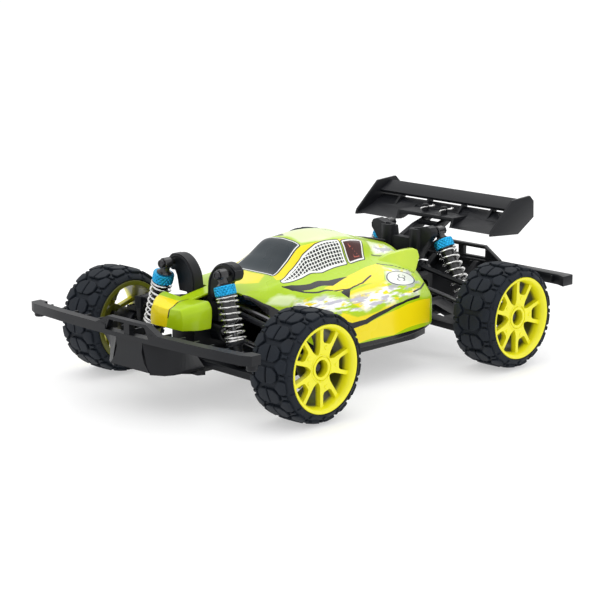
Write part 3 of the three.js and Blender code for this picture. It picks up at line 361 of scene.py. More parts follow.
def finish(name):
    """Each material is made once and shared by the pieces of that finish."""
    if name not in FINISHES:
        FINISHES[name] = MAKERS[name]().material
    return FINISHES[name]


def black_nylon():
    """Satin moulded nylon: fine grain, faint mottling, edges a little polished by use."""
    look = Finish("black_nylon", Specular_IOR_Level=0.26)
    grain = look.noise(5200.0, 2.0)
    cloud = look.noise(60.0, 3.0)
    look.into("Base Color", look.mix(cloud, *shades("nylon")))
    look.into("Roughness", 0.34 + 0.14 * cloud)
    look.bump(grain, 0.03, 0.5)
    return look


def tyre_rubber():
    """Matt blue-black rubber with dust in the low places and a fine moulded skin."""
    look = Finish("tyre_rubber", Specular_IOR_Level=0.2)
    skin = look.noise(2400.0, 3.0)
    dust = look.noise(90.0, 4.0)
    base = look.mix(dust, *shades("rubber"))
    look.into("Base Color", base)
    look.into("Roughness", 0.50 + 0.18 * dust)
    look.bump(skin, 0.05, 0.5)
    return look


def rim_plastic():
    """Bright yellow moulded plastic, glossy, with faint flow marks. The inner part of the rim carries painted
    shade: its yellow turns dark olive.
    """
    look = Finish("rim_plastic", Specular_IOR_Level=0.5, Coat_Weight=0.15)
    flow = look.noise(45.0, 2.0, (1.0, 3.0, 3.0))
    yellow = look.mix(flow, *shades("rim"))
    # Painted shade: inward of 94 mm from the car's middle the yellow fades to dark olive, fully by about 91
    # mm, so the inner barrel and spokes look shaded.
    across = look.node("ShaderNodeSeparateXYZ", None, {0: look.place})
    depth = across.math("ABSOLUTE").math("MULTIPLY_ADD", -260.0, 94.0 * 0.26)
    inside = look.ramp(depth, [(0.0, 0.0), (0.75, 0.93)])
    look.into("Base Color", look.mix(inside, yellow, colour(0.045, 0.050, 0.006)))
    look.into("Roughness", 0.26 + 0.12 * flow)
    look.bump(look.noise(900.0, 2.0), 0.01, 0.4)
    return look


def spring_wire():
    """Bright drawn spring wire, its gloss broken by fine drawing marks."""
    look = Finish("spring_wire", Metallic=1.0)
    marks = look.noise(900.0, 2.0)
    look.into("Base Color", look.mix(marks, colour(0.62, 0.62, 0.62), colour(0.86, 0.85, 0.83)))
    look.into("Roughness", 0.16 + 0.16 * marks)
    return look


def dark_steel():
    """Machined steel with turning marks and a thin film of grease."""
    look = Finish("dark_steel", Metallic=1.0)
    marks = look.noise(1500.0, 2.0, (4.0, 1.0, 1.0))
    look.into("Base Color", look.mix(marks, colour(0.10, 0.10, 0.11), colour(0.30, 0.30, 0.31)))
    look.into("Roughness", 0.24 + 0.2 * marks)
    look.bump(marks, 0.02, 0.4)
    return look


def black_steel():
    """Blackened screws, pins and balls, glossy where a key has turned them."""
    look = Finish("black_steel", Metallic=0.7)
    marks = look.noise(700.0, 2.0)
    look.into("Base Color", look.mix(marks, colour(0.015, 0.015, 0.017), colour(0.05, 0.05, 0.055)))
    look.into("Roughness", 0.14 + 0.16 * marks)
    return look


def blue_anodised():
    """Light blue anodised aluminium with a satin surface."""
    look = Finish("blue_anodised", Metallic=0.85, Specular_IOR_Level=0.6)
    cloud = look.noise(300.0, 2.0)
    look.into("Base Color", look.mix(cloud, colour(0.008, 0.30, 0.62), colour(0.03, 0.46, 0.80)))
    look.into("Roughness", 0.24 + 0.12 * cloud)
    return look


def battery_wrap():
    """Blue shrink wrap drawn tight over round cells, with fine creases."""
    look = Finish("battery_wrap", Specular_IOR_Level=0.5)
    creases = look.noise(160.0, 4.0, (1.0, 0.3, 1.0))
    look.into("Base Color", look.mix(creases, colour(0.01, 0.05, 0.16), colour(0.02, 0.09, 0.26)))
    look.into("Roughness", 0.22 + 0.2 * creases)
    look.bump(creases, 0.4, 0.6)
    return look


def shell_paint():
    """The printed shell: each graphic is a signed distance held on the mesh, tested here, so its
    edge stays crisp. Later layers cover earlier ones, and a clear coat lies over all of them."""
    look = Finish("shell_paint", Coat_Roughness=0.1, Specular_IOR_Level=0.28)
    cloud = look.noise(24.0, 3.0)
    streak = look.noise(120.0, 6.0, (1.0, 0.36, 1.8))
    patch = look.noise(190.0, 6.0, (1.0, 0.42, 2.2))
    lime = look.mix(cloud, *shades("shell_lime"))
    yellow = look.mix(cloud, colour(0.88, 0.66, 0.003), colour(0.84, 0.76, 0.006))
    white = colour(0.86, 0.88, 0.84)
    base = lime
    pale = look.measure("pale").math("MULTIPLY_ADD", -160.0, 0.5).math("ADD", streak * 1.4 - 0.7)
    base = look.mix(look.ramp(pale, [(0.35, 0.0), (0.75, 0.9)]), base, colour(0.72, 0.84, 0.46))
    warm = look.measure("yellow").below(0.0)
    base = look.mix(warm, base, yellow)
    soft = look.measure("warm").math("MULTIPLY_ADD", -220.0, 0.5).math("ADD", streak * 1.2 - 0.6)
    base = look.mix(look.ramp(soft, [(0.30, 0.0), (0.62, 1.0)]), base, yellow)
    inside = look.ramp(look.measure("splash") * -260.0 + 0.3, [(0.0, 0.0), (1.0, 1.0)])
    strokes = look.ramp(streak, [(0.47, 0.0), (0.53, 1.0)]) * inside
    base = look.mix(strokes, base, white)
    grey = look.ramp(patch, [(0.54, 0.0), (0.58, 1.0)]) * inside
    base = look.mix(grey * 0.8, base, colour(0.42, 0.40, 0.50))
    warm_strokes = look.ramp(patch, [(0.38, 1.0), (0.42, 0.0)]) * inside
    base = look.mix(warm_strokes, base, yellow)
    base = look.mix(look.measure("black").below(0.0), base, colour(0.010, 0.010, 0.012))
    sheen = look.noise(30.0, 2.0)
    glass = look.measure("glass")
    base = look.mix(glass.below(0.0019), base, colour(0.010, 0.010, 0.012))
    base = look.mix(glass.below(0.0010), base, white)
    base = look.mix(glass.below(0.0003), base,
                    look.mix(sheen, colour(0.010, 0.015, 0.020), colour(0.030, 0.045, 0.055)))
    chart = look.node("ShaderNodeUVMap", {"uv_map": "chart"})
    along = look.node("ShaderNodeSeparateXYZ", None, {0: chart}, "X")
    down = look.node("ShaderNodeSeparateXYZ", None, {0: chart}, "Y")
    row = down.math("MULTIPLY", 1 / (2.3 * MM)).math("FRACT")
    shifted = along.math("MULTIPLY", 1 / (2.5 * MM)).math("FRACT")
    hole = row.above(0.27) * shifted.above(0.27)
    net = look.measure("net")
    base = look.mix(net.below(0.0019), base, colour(0.010, 0.010, 0.012))
    base = look.mix(net.below(0.0012), base, white)
    base = look.mix(net.below(-0.0001) * hole, base, colour(0.012, 0.012, 0.016))
    quarter = look.measure("quarter")
    base = look.mix(quarter.below(0.0019), base, colour(0.010, 0.010, 0.012))
    base = look.mix(quarter.below(0.0012), base, white)
    base = look.mix(quarter.below(0.0002), base,
                    look.mix(sheen, colour(0.020, 0.008, 0.008), colour(0.08, 0.014, 0.012)))
    base = look.mix(look.measure("red_line").below(0.0003), base, colour(0.45, 0.10, 0.07))
    disc = look.measure("disc")
    base = look.mix(disc.below(0.0098), base, colour(0.80, 0.84, 0.76))
    ring = disc.below(0.0096) * disc.above(0.0087)
    base = look.mix(ring, base, colour(0.05, 0.06, 0.08))
    base = look.mix(look.measure("numeral").below(0.0), base, colour(0.05, 0.06, 0.08))
    base = look.mix(look.measure("skirt").below(0.0), base, colour(0.010, 0.010, 0.012))
    look.into("Base Color", base)
    look.into("Roughness", 0.22 + 0.12 * cloud)
    look.into("Coat Weight", 0.18)
    look.bump(look.noise(70.0, 2.0), 0.05, 0.3)
    return look


def lime_plain():
    """Lime paint with a yellow sheen for the parts of the shell without graphics."""
    look = Finish("lime_plain", Coat_Roughness=0.06)
    cloud = look.noise(40.0, 3.0)
    look.into("Base Color", look.mix(cloud, *shades("plain_lime")))
    look.into("Roughness", 0.24 + 0.12 * cloud)
    look.into("Coat Weight", 0.6)
    return look


def black_gloss():
    """Smooth black shock parts, a thin oil film on them."""
    look = Finish("black_gloss", Specular_IOR_Level=0.6)
    film = look.noise(220.0, 3.0)
    look.into("Base Color", look.mix(film, colour(0.008, 0.008, 0.009), colour(0.020, 0.020, 0.022)))
    look.into("Roughness", 0.12 + 0.2 * film)
    return look


def studio_floor():
    """Pale matt paper with a barely visible grain."""
    look = Finish("studio_floor", Specular_IOR_Level=0.3)
    grain = look.noise(40.0, 3.0)
    look.into("Base Color", look.mix(grain, colour(0.53, 0.53, 0.53), colour(0.57, 0.57, 0.57)))
    look.into("Emission Color", colour(1.0, 1.0, 1.0))
    look.into("Emission Strength", 0.45)
    look.into("Roughness", 0.55 + 0.1 * grain)
    return look


MAKERS = {
    "black_nylon": black_nylon,
    "tyre_rubber": tyre_rubber,
    "rim_plastic": rim_plastic,
    "spring_wire": spring_wire,
    "dark_steel": dark_steel,
    "black_steel": black_steel,
    "blue_anodised": blue_anodised,
    "battery_wrap": battery_wrap,
    "shell_paint": shell_paint,
    "lime_plain": lime_plain,
    "black_gloss": black_gloss,
    "studio_floor": studio_floor,
}


# ---- sizes and colours that a user may change ----

def shade(name, description, default):
    """A colour that a user may change."""
    return FloatVectorProperty(
        name=name, description=description, default=default, size=4, min=0.0, max=1.0, subtype="COLOR"
    )


class ColourSettings(bpy.types.PropertyGroup):
    nylon: shade("Nylon", "Deeper colour of the moulded nylon parts", colour(0.003, 0.0035, 0.005))
    nylon_light: shade("Nylon, light", "Lighter colour of the moulded nylon parts",
                       colour(0.008, 0.009, 0.012))
    rubber: shade("Rubber", "Deeper colour of the tyres", colour(0.005, 0.007, 0.011))
    rubber_light: shade("Rubber, light", "Lighter colour of the tyres", colour(0.013, 0.018, 0.026))
    rim: shade("Rim", "Deeper colour of the rims", colour(0.76, 0.74, 0.006))
    rim_light: shade("Rim, light", "Lighter colour of the rims", colour(0.86, 0.80, 0.010))
    plain_lime: shade("Plain lime", "Deeper colour of the fins and other plain painted parts",
                      colour(0.38, 0.60, 0.005))
    plain_lime_light: shade("Plain lime, light", "Lighter colour of the fins and other plain painted parts",
                            colour(0.62, 0.76, 0.010))
    shell_lime: shade("Shell lime", "Deeper colour of the printed shell", colour(0.34, 0.54, 0.003))
    shell_lime_light: shade("Shell lime, light", "Lighter colour of the printed shell",
                            colour(0.47, 0.66, 0.006))


class ShellSettings(bpy.types.PropertyGroup):
    wall: FloatProperty(name="Wall", description="Thickness of the shell", default=1.3 * MM, unit="LENGTH")
    step: FloatProperty(name="Step", description="Spacing of the rows along the shell", default=1.1 * MM,
                        unit="LENGTH")


class WheelSettings(bpy.types.PropertyGroup):
    radius: FloatProperty(name="Radius", description="Tyre radius over the tread", default=33 * MM,
                          unit="LENGTH")
    tread: FloatProperty(name="Tread", description="Height of the tread blocks", default=2.0 * MM,
                         unit="LENGTH")
    blocks: IntProperty(name="Blocks", description="Tread blocks round the tyre", default=16, min=8, max=30)
    lobes: IntProperty(name="Lobes", description="Pairs of spokes in a rim", default=5, min=3, max=8)


class ShockSettings(bpy.types.PropertyGroup):
    spring: FloatProperty(name="Spring radius", description="Middle of the wire", default=6 * MM,
                          unit="LENGTH")
    wire: FloatProperty(name="Wire", description="Radius of the spring wire", default=0.6 * MM, unit="LENGTH")
    turns: FloatProperty(name="Turns", description="Turns of each spring", default=8.5)


class StageSettings(bpy.types.PropertyGroup):
    lens: FloatProperty(name="Lens", description="Focal length in millimetres", default=119.57)
    place: FloatVectorProperty(
        name="Camera", description="Where the camera stands", default=(0.8555, -0.8746, 0.3208), unit="LENGTH"
    )
    target: FloatVectorProperty(
        name="Target", description="What the camera looks at", default=(-0.00841, 0.00017, 0.04179),
        unit="LENGTH"
    )


# ---- body shell ----

SHELL_SECTIONS = [
    (-119, (0, 57.5), (7, 58), (12.5, 58.5), (14.5, 55), (15, 50), (14.5, 46)),
    (-112, (0, 60), (9, 60.5), (17.5, 61), (20, 57.5), (20.5, 52), (19.5, 46)),
    (-103, (0, 61), (11, 62), (20.5, 62.8), (23, 59), (23, 54), (22, 46.5)),
    (-82, (0, 64.5), (13, 65), (24, 64.3), (26.5, 63.4), (27.6, 62.4), (27.6, 61)),
    (-70, (0, 66.5), (14, 67), (27, 65.5), (33, 60), (35, 55), (34.5, 50.5)),
    (-60, (0, 68), (15, 68.3), (27.5, 66.3), (34.5, 59), (36.5, 53), (35, 42)),
    (-49, (0, 69.8), (16.5, 69.8), (27.4, 67.3), (38, 59), (43, 50), (42, 34)),
    (-38, (0, 77), (15.8, 76), (27, 67.8), (41, 58.5), (51, 47), (51, 26.5)),
    (-24, (0, 86), (15, 84.9), (26.5, 68.6), (44, 58), (56, 45.5), (56, 25)),
    (-5, (0, 90), (18.5, 84.5), (26.5, 69.5), (45.5, 58.5), (57.5, 46.5), (57.5, 24.5)),
    (15, (0, 87.8), (20, 83), (26.5, 70), (46.5, 59), (58, 47), (58, 24.5)),
    (27, (0, 83.4), (20, 80.8), (25.5, 70), (47.5, 58.5), (57.5, 47.5), (57.5, 24.5)),
    (36, (0, 80.5), (17, 78.6), (24.5, 69), (48, 57), (57, 47.5), (57, 25)),
    (57, (0, 74.8), (12, 72.8), (23.5, 66), (45, 52.5), (52.5, 45), (52.5, 28)),
    (66, (0, 72.3), (10, 70), (22, 63.5), (34, 55), (38, 49), (37, 42)),
]
SLOT = (-104.5, -82.5)
BRIDGE_HALF_WIDTH = 5.2


def through(at, places, values):
    """Cubic curves through the rows, with slopes held back so that no curve overshoots."""
    gap = np.diff(places)[:, None]
    slope = np.diff(values, axis=0) / gap
    same = slope[:-1] * slope[1:] > 0
    weight = 2 * slope[:-1] * slope[1:] / np.where(same, slope[:-1] + slope[1:], 1.0)
    tangent = np.concatenate([slope[:1], np.where(same, weight, 0.0), slope[-1:]])
    span = np.clip(np.searchsorted(places, at, side="right") - 1, 0, len(places) - 2)
    width = gap[span]
    t = (at - places[span])[:, None] / width
    first = (1 + 2 * t) * (1 - t) ** 2 * values[span] + t * (1 - t) ** 2 * width * tangent[span]
    return first + t**2 * (3 - 2 * t) * values[span + 1] + t**2 * (t - 1) * width * tangent[span + 1]


def corners_cut(points, share):
    """Each inner corner is replaced by two points, `share` of the way along its two sides."""
    a, b = points[:, :-1], points[:, 1:]
    near, far = a + share * (b - a), b - share * (b - a)
    inner = np.stack([near, far], axis=2).reshape(len(points), -1, 2)[:, 1:-1]
    return np.concatenate([points[:, :1], inner, points[:, -1:]], axis=1)


def shell_grid(step):
    """Rows across the shell at even steps along Y. Each row is the section polyline there, its
    corners cut three times, then every span split into lengths of about a millimetre."""
    table = np.array([[section[0], *np.ravel(section[1:])] for section in SHELL_SECTIONS], float)
    places = table[:, 0]
    count = int((places[-1] - places[0]) / step)
    rows = np.unique(np.concatenate([np.linspace(places[0], places[-1], count), SLOT]))
    half = through(rows, places, table[:, 1:]).reshape(len(rows), -1, 2)
    other = half[:, :0:-1] * (-1, 1)
    section = np.concatenate([other, half], axis=1)
    for share in (0.16, 0.25, 0.25):
        section = corners_cut(section, share)
    lengths = np.linalg.norm(np.diff(section, axis=1), axis=2).max(axis=0)
    splits = np.maximum(1, np.ceil(lengths / 1.2)).astype(int)
    at = np.concatenate([i + np.arange(n) / n for i, n in enumerate(splits)] + [[len(splits)]])
    low = np.minimum(at.astype(int), len(splits) - 1)
    share = (at - low)[None, :, None]
    across = section[:, low] * (1 - share) + section[:, low + 1] * share
    y = np.broadcast_to(rows[:, None, None], across.shape[:2] + (1,))
    return np.concatenate([across[..., :1], y, across[..., 1:]], axis=-1)


def chart_of(grid):
    """Flat coordinates on the shell: the place on Y, and the length along the row from its crest."""
    steps = np.linalg.norm(np.diff(grid, axis=1), axis=2)
    run = np.concatenate([np.zeros((len(grid), 1)), np.cumsum(steps, axis=1)], axis=1)
    middle = np.argmin(np.abs(grid[len(grid) // 2, :, 0]))
    return np.stack([grid[..., 1], run - run[:, middle:middle + 1]], axis=-1)


def on_chart(points, grid, chart):
    """The chart coordinates of the grid point nearest to each given place."""
    flat, chart_flat = grid.reshape(-1, 3), chart.reshape(-1, 2)
    found = [np.argmin(((flat - p) ** 2).sum(axis=1)) for p in np.asarray(points, float)]
    return chart_flat[found]


def distance_to_line(points, line, closed):
    """The least distance from each point to the segments of a line."""
    a = line if closed else line[:-1]
    b = np.roll(line, -1, axis=0) if closed else line[1:]
    edge = b - a
    away = points[:, None] - a
    t = np.clip((away * edge).sum(-1) / np.maximum((edge**2).sum(-1), 1e-9), 0, 1)
    return np.linalg.norm(away - t[..., None] * edge, axis=-1).min(axis=1)


def signed_distance(points, outline):
    """Distance to an outline, below zero inside it: inside is an odd number of crossings."""
    a, b = outline, np.roll(outline, -1, axis=0)
    y = points[:, 1:2]
    rise = np.where(b[:, 1] == a[:, 1], 1e-9, b[:, 1] - a[:, 1])
    crossing = a[:, 0] + (y - a[:, 1]) * (b[:, 0] - a[:, 0]) / rise
    hits = ((a[:, 1] > y) != (b[:, 1] > y)) & (points[:, :1] < crossing)
    return distance_to_line(points, outline, True) * np.where(hits.sum(axis=1) % 2, -1, 1)


# Each outline is a ring of places on the left side of the shell, in millimetres.
WINDSCREEN = [(-16.8, -49.0, 69.6), (17.0, -49.6, 69.6), (14.9, -24.5, 84.6), (-14.9, -24.2, 84.9)]
SIDE_WINDOW = [
    (26.9, -50.0, 67.0), (24.6, -40.5, 71.2), (21.2, -29.4, 75.6), (19.0, -19.0, 80.0),
    (18.3, -13.0, 82.2), (18.7, -4.0, 84.0), (19.4, 5.6, 83.4), (27.0, 4.0, 70.4), (27.7, -18.2, 68.6),
    (27.3, -37.0, 67.4),
]
QUARTER_WINDOW = [(20.3, 9.6, 82.3), (20.0, 25.3, 81.1), (25.9, 20.3, 70.4), (26.5, 8.8, 70.0)]
RED_MARK = [(20.8, 12.5, 80.5), (25.2, 13.5, 71.8), (25.2, 18.5, 71.8), (20.8, 12.5, 80.5)]
BLACK_SHAPES = [
    [(29.8, -54.0, 64.4), (30.8, -47.5, 64.6), (32.9, -32.8, 64.0), (35.0, -19.4, 63.7), (36.0, -2.9, 64.1),
     (38.7, -19.3, 61.4), (37.0, -36.9, 61.2), (33.8, -48.9, 62.3)],
    [(44.1, -18.7, 58.3), (44.4, -9.5, 58.8), (48.3, -15.2, 54.5)],
    [(50.2, -39.2, 42.4), (56.1, -20.4, 41.4), (57.0, -9.3, 41.9), (57.2, 9.5, 45.3), (56.6, 25.0, 47.3),
     (54.6, 43.5, 48.2), (55.6, 42.0, 46.4), (57.0, 25.0, 45.6), (57.6, 9.5, 42.7), (57.2, -8.2, 38.9),
     (56.3, -20.4, 37.8), (50.3, -39.2, 39.2)],
    [(24.5, -84.0, 64.6), (29.0, -78.0, 62.0), (33.0, -72.0, 58.0), (39.0, -60.0, 50.8), (34.5, -60.0, 40.0),
     (34.0, -72.0, 48.0), (27.6, -84.0, 60.0)],
]
BLACK_LINES = [
    (0.55, [(29.8, -54.0, 64.4), (36.7, -42.0, 60.8), (40.4, -32.7, 59.4), (43.0, -19.9, 58.9),
            (44.1, -9.2, 59.0),
            (42.9, 2.5, 60.3), (39.5, 14.0, 63.0)]),
    (0.5, [(24.1, 30.0, 70.4), (23.2, 44.0, 68.0), (25.0, 57.0, 64.0), (31.0, 64.0, 58.0)]),
    (0.5, [(53.1, 38.7, 50.7), (49.7, 49.1, 50.5), (42.0, 58.0, 50.0)]),
    (0.55, [(31.5, 28.3, 66.9), (32.3, 41.6, 64.0), (34.2, 50.5, 60.8), (36.8, 57.1, 57.6)]),
    (0.5, [(2.8, 8.4, 87.8), (9.4, 22.8, 83.5)]),
]
YELLOW_SHAPES = [
    [(38.9, -27.1, 60.8), (37.3, -12.7, 62.8), (34.6, 5.1, 65.3), (31.5, 27.2, 66.9), (33.6, 33.0, 64.6),
     (38.0, 27.0, 62.6), (44.6, 20.8, 59.6), (45.1, 13.9, 59.4), (43.8, 2.9, 59.7), (44.1, -8.2, 58.8),
     (43.4, -19.3, 58.4)],
    [(56.5, -18.0, 35.1), (56.6, -16.0, 28.0), (58.0, 15.0, 27.5), (53.3, 53.5, 29.0), (53.3, 53.2, 37.5),
     (52.0, 54.5, 43.5), (55.6, 42.4, 44.9), (57.6, 20.0, 43.0)],
    [(17.6, -50.5, 69.4), (15.6, -24.0, 84.4), (17.2, -5.0, 85.0), (18.6, 20.0, 82.6), (19.7, 8.0, 83.6),
     (18.7, -4.0, 84.2), (18.4, -15.0, 82.4), (21.4, -29.4, 75.6), (25.6, -47.5, 68.3), (24.0, -53.0, 68.0)],
]
SOFT_YELLOW = [
    [(46.5, -12.7, 56.5), (45.0, 3.0, 59.0), (45.7, 20.8, 59.2), (51.0, 20.0, 54.6), (54.6, 9.0, 49.6),
     (55.6, -8.2, 46.6), (52.0, -14.9, 51.0)],
    [(56.6, 18.0, 47.4), (57.0, -4.0, 43.6), (54.5, -27.0, 43.5), (55.0, -24.0, 41.8), (57.0, -4.0, 41.9),
     (57.2, 14.0, 45.9)],
    [(-12.0, -52.5, 69.3), (14.0, -52.5, 69.2), (19.0, -64.0, 67.3), (10.0, -74.0, 66.4),
     (-10.0, -74.0, 66.4),
     (-19.0, -64.0, 67.3)],
    [(55.0, 10.0, 44.0), (55.5, -14.0, 43.0), (51.0, -26.0, 47.0), (53.0, -34.0, 40.0), (55.5, -24.0, 33.0)],
]
PALE_SHAPES = [
    [(-13.0, -21.0, 86.2), (13.0, -21.0, 86.2), (15.5, -4.0, 86.0), (16.0, 24.0, 83.0), (-16.0, 24.0, 83.0),
     (-15.5, -4.0, 86.0)],
    [(23.0, 34.0, 70.5), (17.0, 35.0, 78.6), (11.0, 56.0, 72.9), (19.0, 62.0, 66.0), (24.0, 50.0, 67.0)],
    [(33.4, -68.0, 59.3), (33.0, -59.2, 60.7), (37.1, -50.3, 59.0), (37.2, -55.9, 54.9), (33.9, -70.3, 57.7)],
]
SPLASH = [
    [(37.3, -51.4, 58.2), (42.2, -31.5, 58.0), (47.8, -17.1, 54.8), (48.4, 8.4, 56.4), (46.0, 22.0, 59.0),
     (34.6, 30.0, 64.9), (34.7, 53.8, 59.6), (44.4, 54.9, 53.1), (54.9, 42.6, 48.6), (57.1, 17.3, 47.0),
     (56.4, -8.2, 45.2), (53.6, -25.9, 45.6), (45.4, -43.7, 50.4), (38.8, -53.6, 53.3)],
    [(20.0, 34.0, 76.0), (13.0, 50.0, 74.0), (17.0, 60.0, 68.5), (23.0, 54.0, 66.8), (23.5, 36.0, 70.6)],
]
ROOF_MARK = [(-3.0, -19.0, 87.0), (-12.0, -22.0, 85.5), (-15.0, -13.0, 85.6), (-10.0, -14.5, 87.0)]
DISC_CENTRE = (44.8, 37.1, 58.5)
DISC_LEAN = 0.96  # the disc leans forward as it comes down the flank
DISC_STRETCH = (1.29, 0.85)  # along the shell and down the flank
NOSE_RIGHT = [(0.6, -119.0, 40.0), (2.2, -119.0, 54.3), (3.0, -117.0, 58.4), (1.2, -111.0, 60.1),
              (2.6, -105.0, 60.8)]


def shell_measures(grid):
    """The signed distances of every graphic at every point of the shell, in metres."""
    chart = chart_of(grid)
    mirrored = chart.reshape(-1, 2)
    points = np.abs(mirrored * (0, 1)) + mirrored * (1, 0)

    def ring(places):
        places = np.asarray(places, float)
        on_left = on_chart(np.abs(places) * (1, 0, 1) + places * (0, 1, 0), grid, chart)
        return on_left * np.stack([np.ones(len(places)), np.where(places[:, 0] < 0, -1, 1)], axis=-1)

    def union(shapes):
        return np.min([signed_distance(points, ring(s)) for s in shapes], axis=0)

    roof_mark = signed_distance(chart.reshape(-1, 2), ring(ROOF_MARK))
    black_lines = [distance_to_line(points, ring(line), False) - width for width, line in BLACK_LINES]
    divide = np.asarray(NOSE_RIGHT, float)
    line_x = np.interp(mirrored[:, 0], divide[:, 1] + np.arange(len(divide)) * 1e-3, divide[:, 0])
    flat = grid.reshape(-1, 3)
    on_nose = flat[:, 1] < SLOT[0] + 0.5
    front_x = np.where(flat[:, 1] < -118.5, np.interp(flat[:, 2], [46.0, 54.3, 58.4], [0.3, 2.2, 3.0]),
                       line_x)
    right_of = np.where(on_nose, flat[:, 0] - front_x, 9.0)
    nose_line = np.where(on_nose, np.abs(right_of) - 0.5, 9.0)
    on_disc = points - ring([DISC_CENTRE])[0]
    on_disc = (on_disc @ [[1.0, 0.0], [DISC_LEAN, 1.0]]) / DISC_STRETCH
    disc = np.linalg.norm(on_disc, axis=1)
    loops = [np.abs(np.linalg.norm(on_disc - (0.0, 2.3 * k), axis=1) - 2.3) - 0.42 for k in (-1, 1)]
    measures = {
        "glass": signed_distance(points, ring(WINDSCREEN)),
        "net": signed_distance(points, ring(SIDE_WINDOW)),
        "quarter": signed_distance(points, ring(QUARTER_WINDOW)),
        "red_line": distance_to_line(points, ring(RED_MARK), False),
        "black": np.min([union(BLACK_SHAPES), *black_lines, nose_line, roof_mark], axis=0),
        "yellow": np.minimum(union(YELLOW_SHAPES), np.maximum(right_of, flat[:, 1] + 110)),
        "warm": union(SOFT_YELLOW),
        "pale": union(PALE_SHAPES),
        "splash": union(SPLASH),
        "disc": disc,
        "numeral": np.min(loops, axis=0),
        "skirt": np.where(flat[:, 1] > -30, flat[:, 2] - 27.6, 9.0),
    }
    return {name: values * MM for name, values in measures.items()}, chart.reshape(-1, 2) * MM


def nose_front(grid):
    """The first row drawn in towards its own foot in three steps, which closes the nose."""
    row = grid[0]
    foot = np.array([0.0, row[0, 1], row[0, 2]])
    steps = [(0.965, -0.7), (0.90, -1.0), (0.5, -1.3)]
    return np.stack([foot + (row - foot) * share + (0, push, 0) for share, push in steps[::-1]])


class BUGGY_OT_shell(bpy.types.Operator):
    """Build the painted body shell with its printed windows, graphics, fins and tail"""

    bl_idname = "buggy.shell"
    bl_label = "Body shell"

    def execute(self, context):
        settings = context.scene.buggy_shell
        body = shell_grid(settings.step / MM)
        grid = np.concatenate([nose_front(body), body])
        in_slot = (grid[..., 1] > SLOT[0] - 0.01) & (grid[..., 1] < SLOT[1] + 0.01)
        mean_x = np.abs(np.where(in_slot, grid[..., 0], np.nan))
        edge_gap = np.abs(np.nanmean(mean_x, axis=0) - BRIDGE_HALF_WIDTH)
        half = grid.shape[1] // 2
        edges = [int(np.argmin(edge_gap[:half])), half + int(np.argmin(edge_gap[half:]))]
        rows = np.flatnonzero(in_slot.any(axis=1))
        grid[rows[0]:rows[-1] + 1, edges, 0] = np.sign(grid[rows[0], edges, 0]) * BRIDGE_HALF_WIDTH
        verts, faces = surface(grid)
        columns = grid.shape[1]
        quads = np.array(faces)
        row, column = quads[:, 0] // columns, quads[:, 0] % columns
        cut = (row >= rows[0]) & (row < rows[-1]) & ((column < edges[0]) | (column >= edges[1]))
        faces = quads[~cut].tolist() + [list(range(columns))]
        mesh = bpy.data.meshes.new("body_shell_look")
        mesh.from_pydata((verts * MM).tolist(), [], [face[::-1] for face in faces])
        measures, chart = shell_measures(grid)
        for name, values in measures.items():
            mesh.attributes.new(name, "FLOAT", "POINT").data.foreach_set("value", values)
        loops = np.zeros(len(mesh.loops), int)
        mesh.loops.foreach_get("vertex_index", loops)
        mesh.uv_layers.new(name="chart").data.foreach_set("uv", chart[loops].ravel())
        work = bmesh.new()
        work.from_mesh(mesh)
        loose = [v for v in work.verts if not v.link_faces]
        bmesh.ops.delete(work, geom=loose, context="VERTS")
        work.to_mesh(mesh)
        work.free()
        paint = finish("shell_paint")
        made("body_shell_look", mesh, paint, "chassis", "lime_paint", wall=settings.wall / MM,
             stands_for=("body_shell",))
        fin = [(31, 66.3), (34, 68.6), (45, 70.2), (60, 70.8), (68, 70.6), (71.4, 69), (70.6, 65), (62, 57.4),
               (54, 57.4), (44, 62), (36, 64.8)]
        plate, faces = outline_plate(fin, "yz", 25.0, 28.2)
        plate[:, 0] += 0.6 * (68 - plate[:, 2])
        fins = both_sides((plate, faces))
        piece_of("tail_fins", fins, finish("lime_plain"), "chassis", "lime_paint", bevel=0.7)
        tab = [(46, 77.6), (66.6, 73.2), (66.6, 71.9), (46, 76.2)]
        tail = outline_plate(tab, "yz", -4.2, 4.2)
        piece_of("roof_tab", tail, finish("black_nylon"), "chassis", "black_plastic", bevel=0.35)
        return {"FINISHED"}


# ---- wheels ----

CARCASS = np.array([
    (0, 31.1), (5, 31.05), (9.5, 30.8), (12.3, 30.3), (14.2, 29.3), (15.2, 28.0), (15.75, 26.9), (15.9, 26.5)
], float)


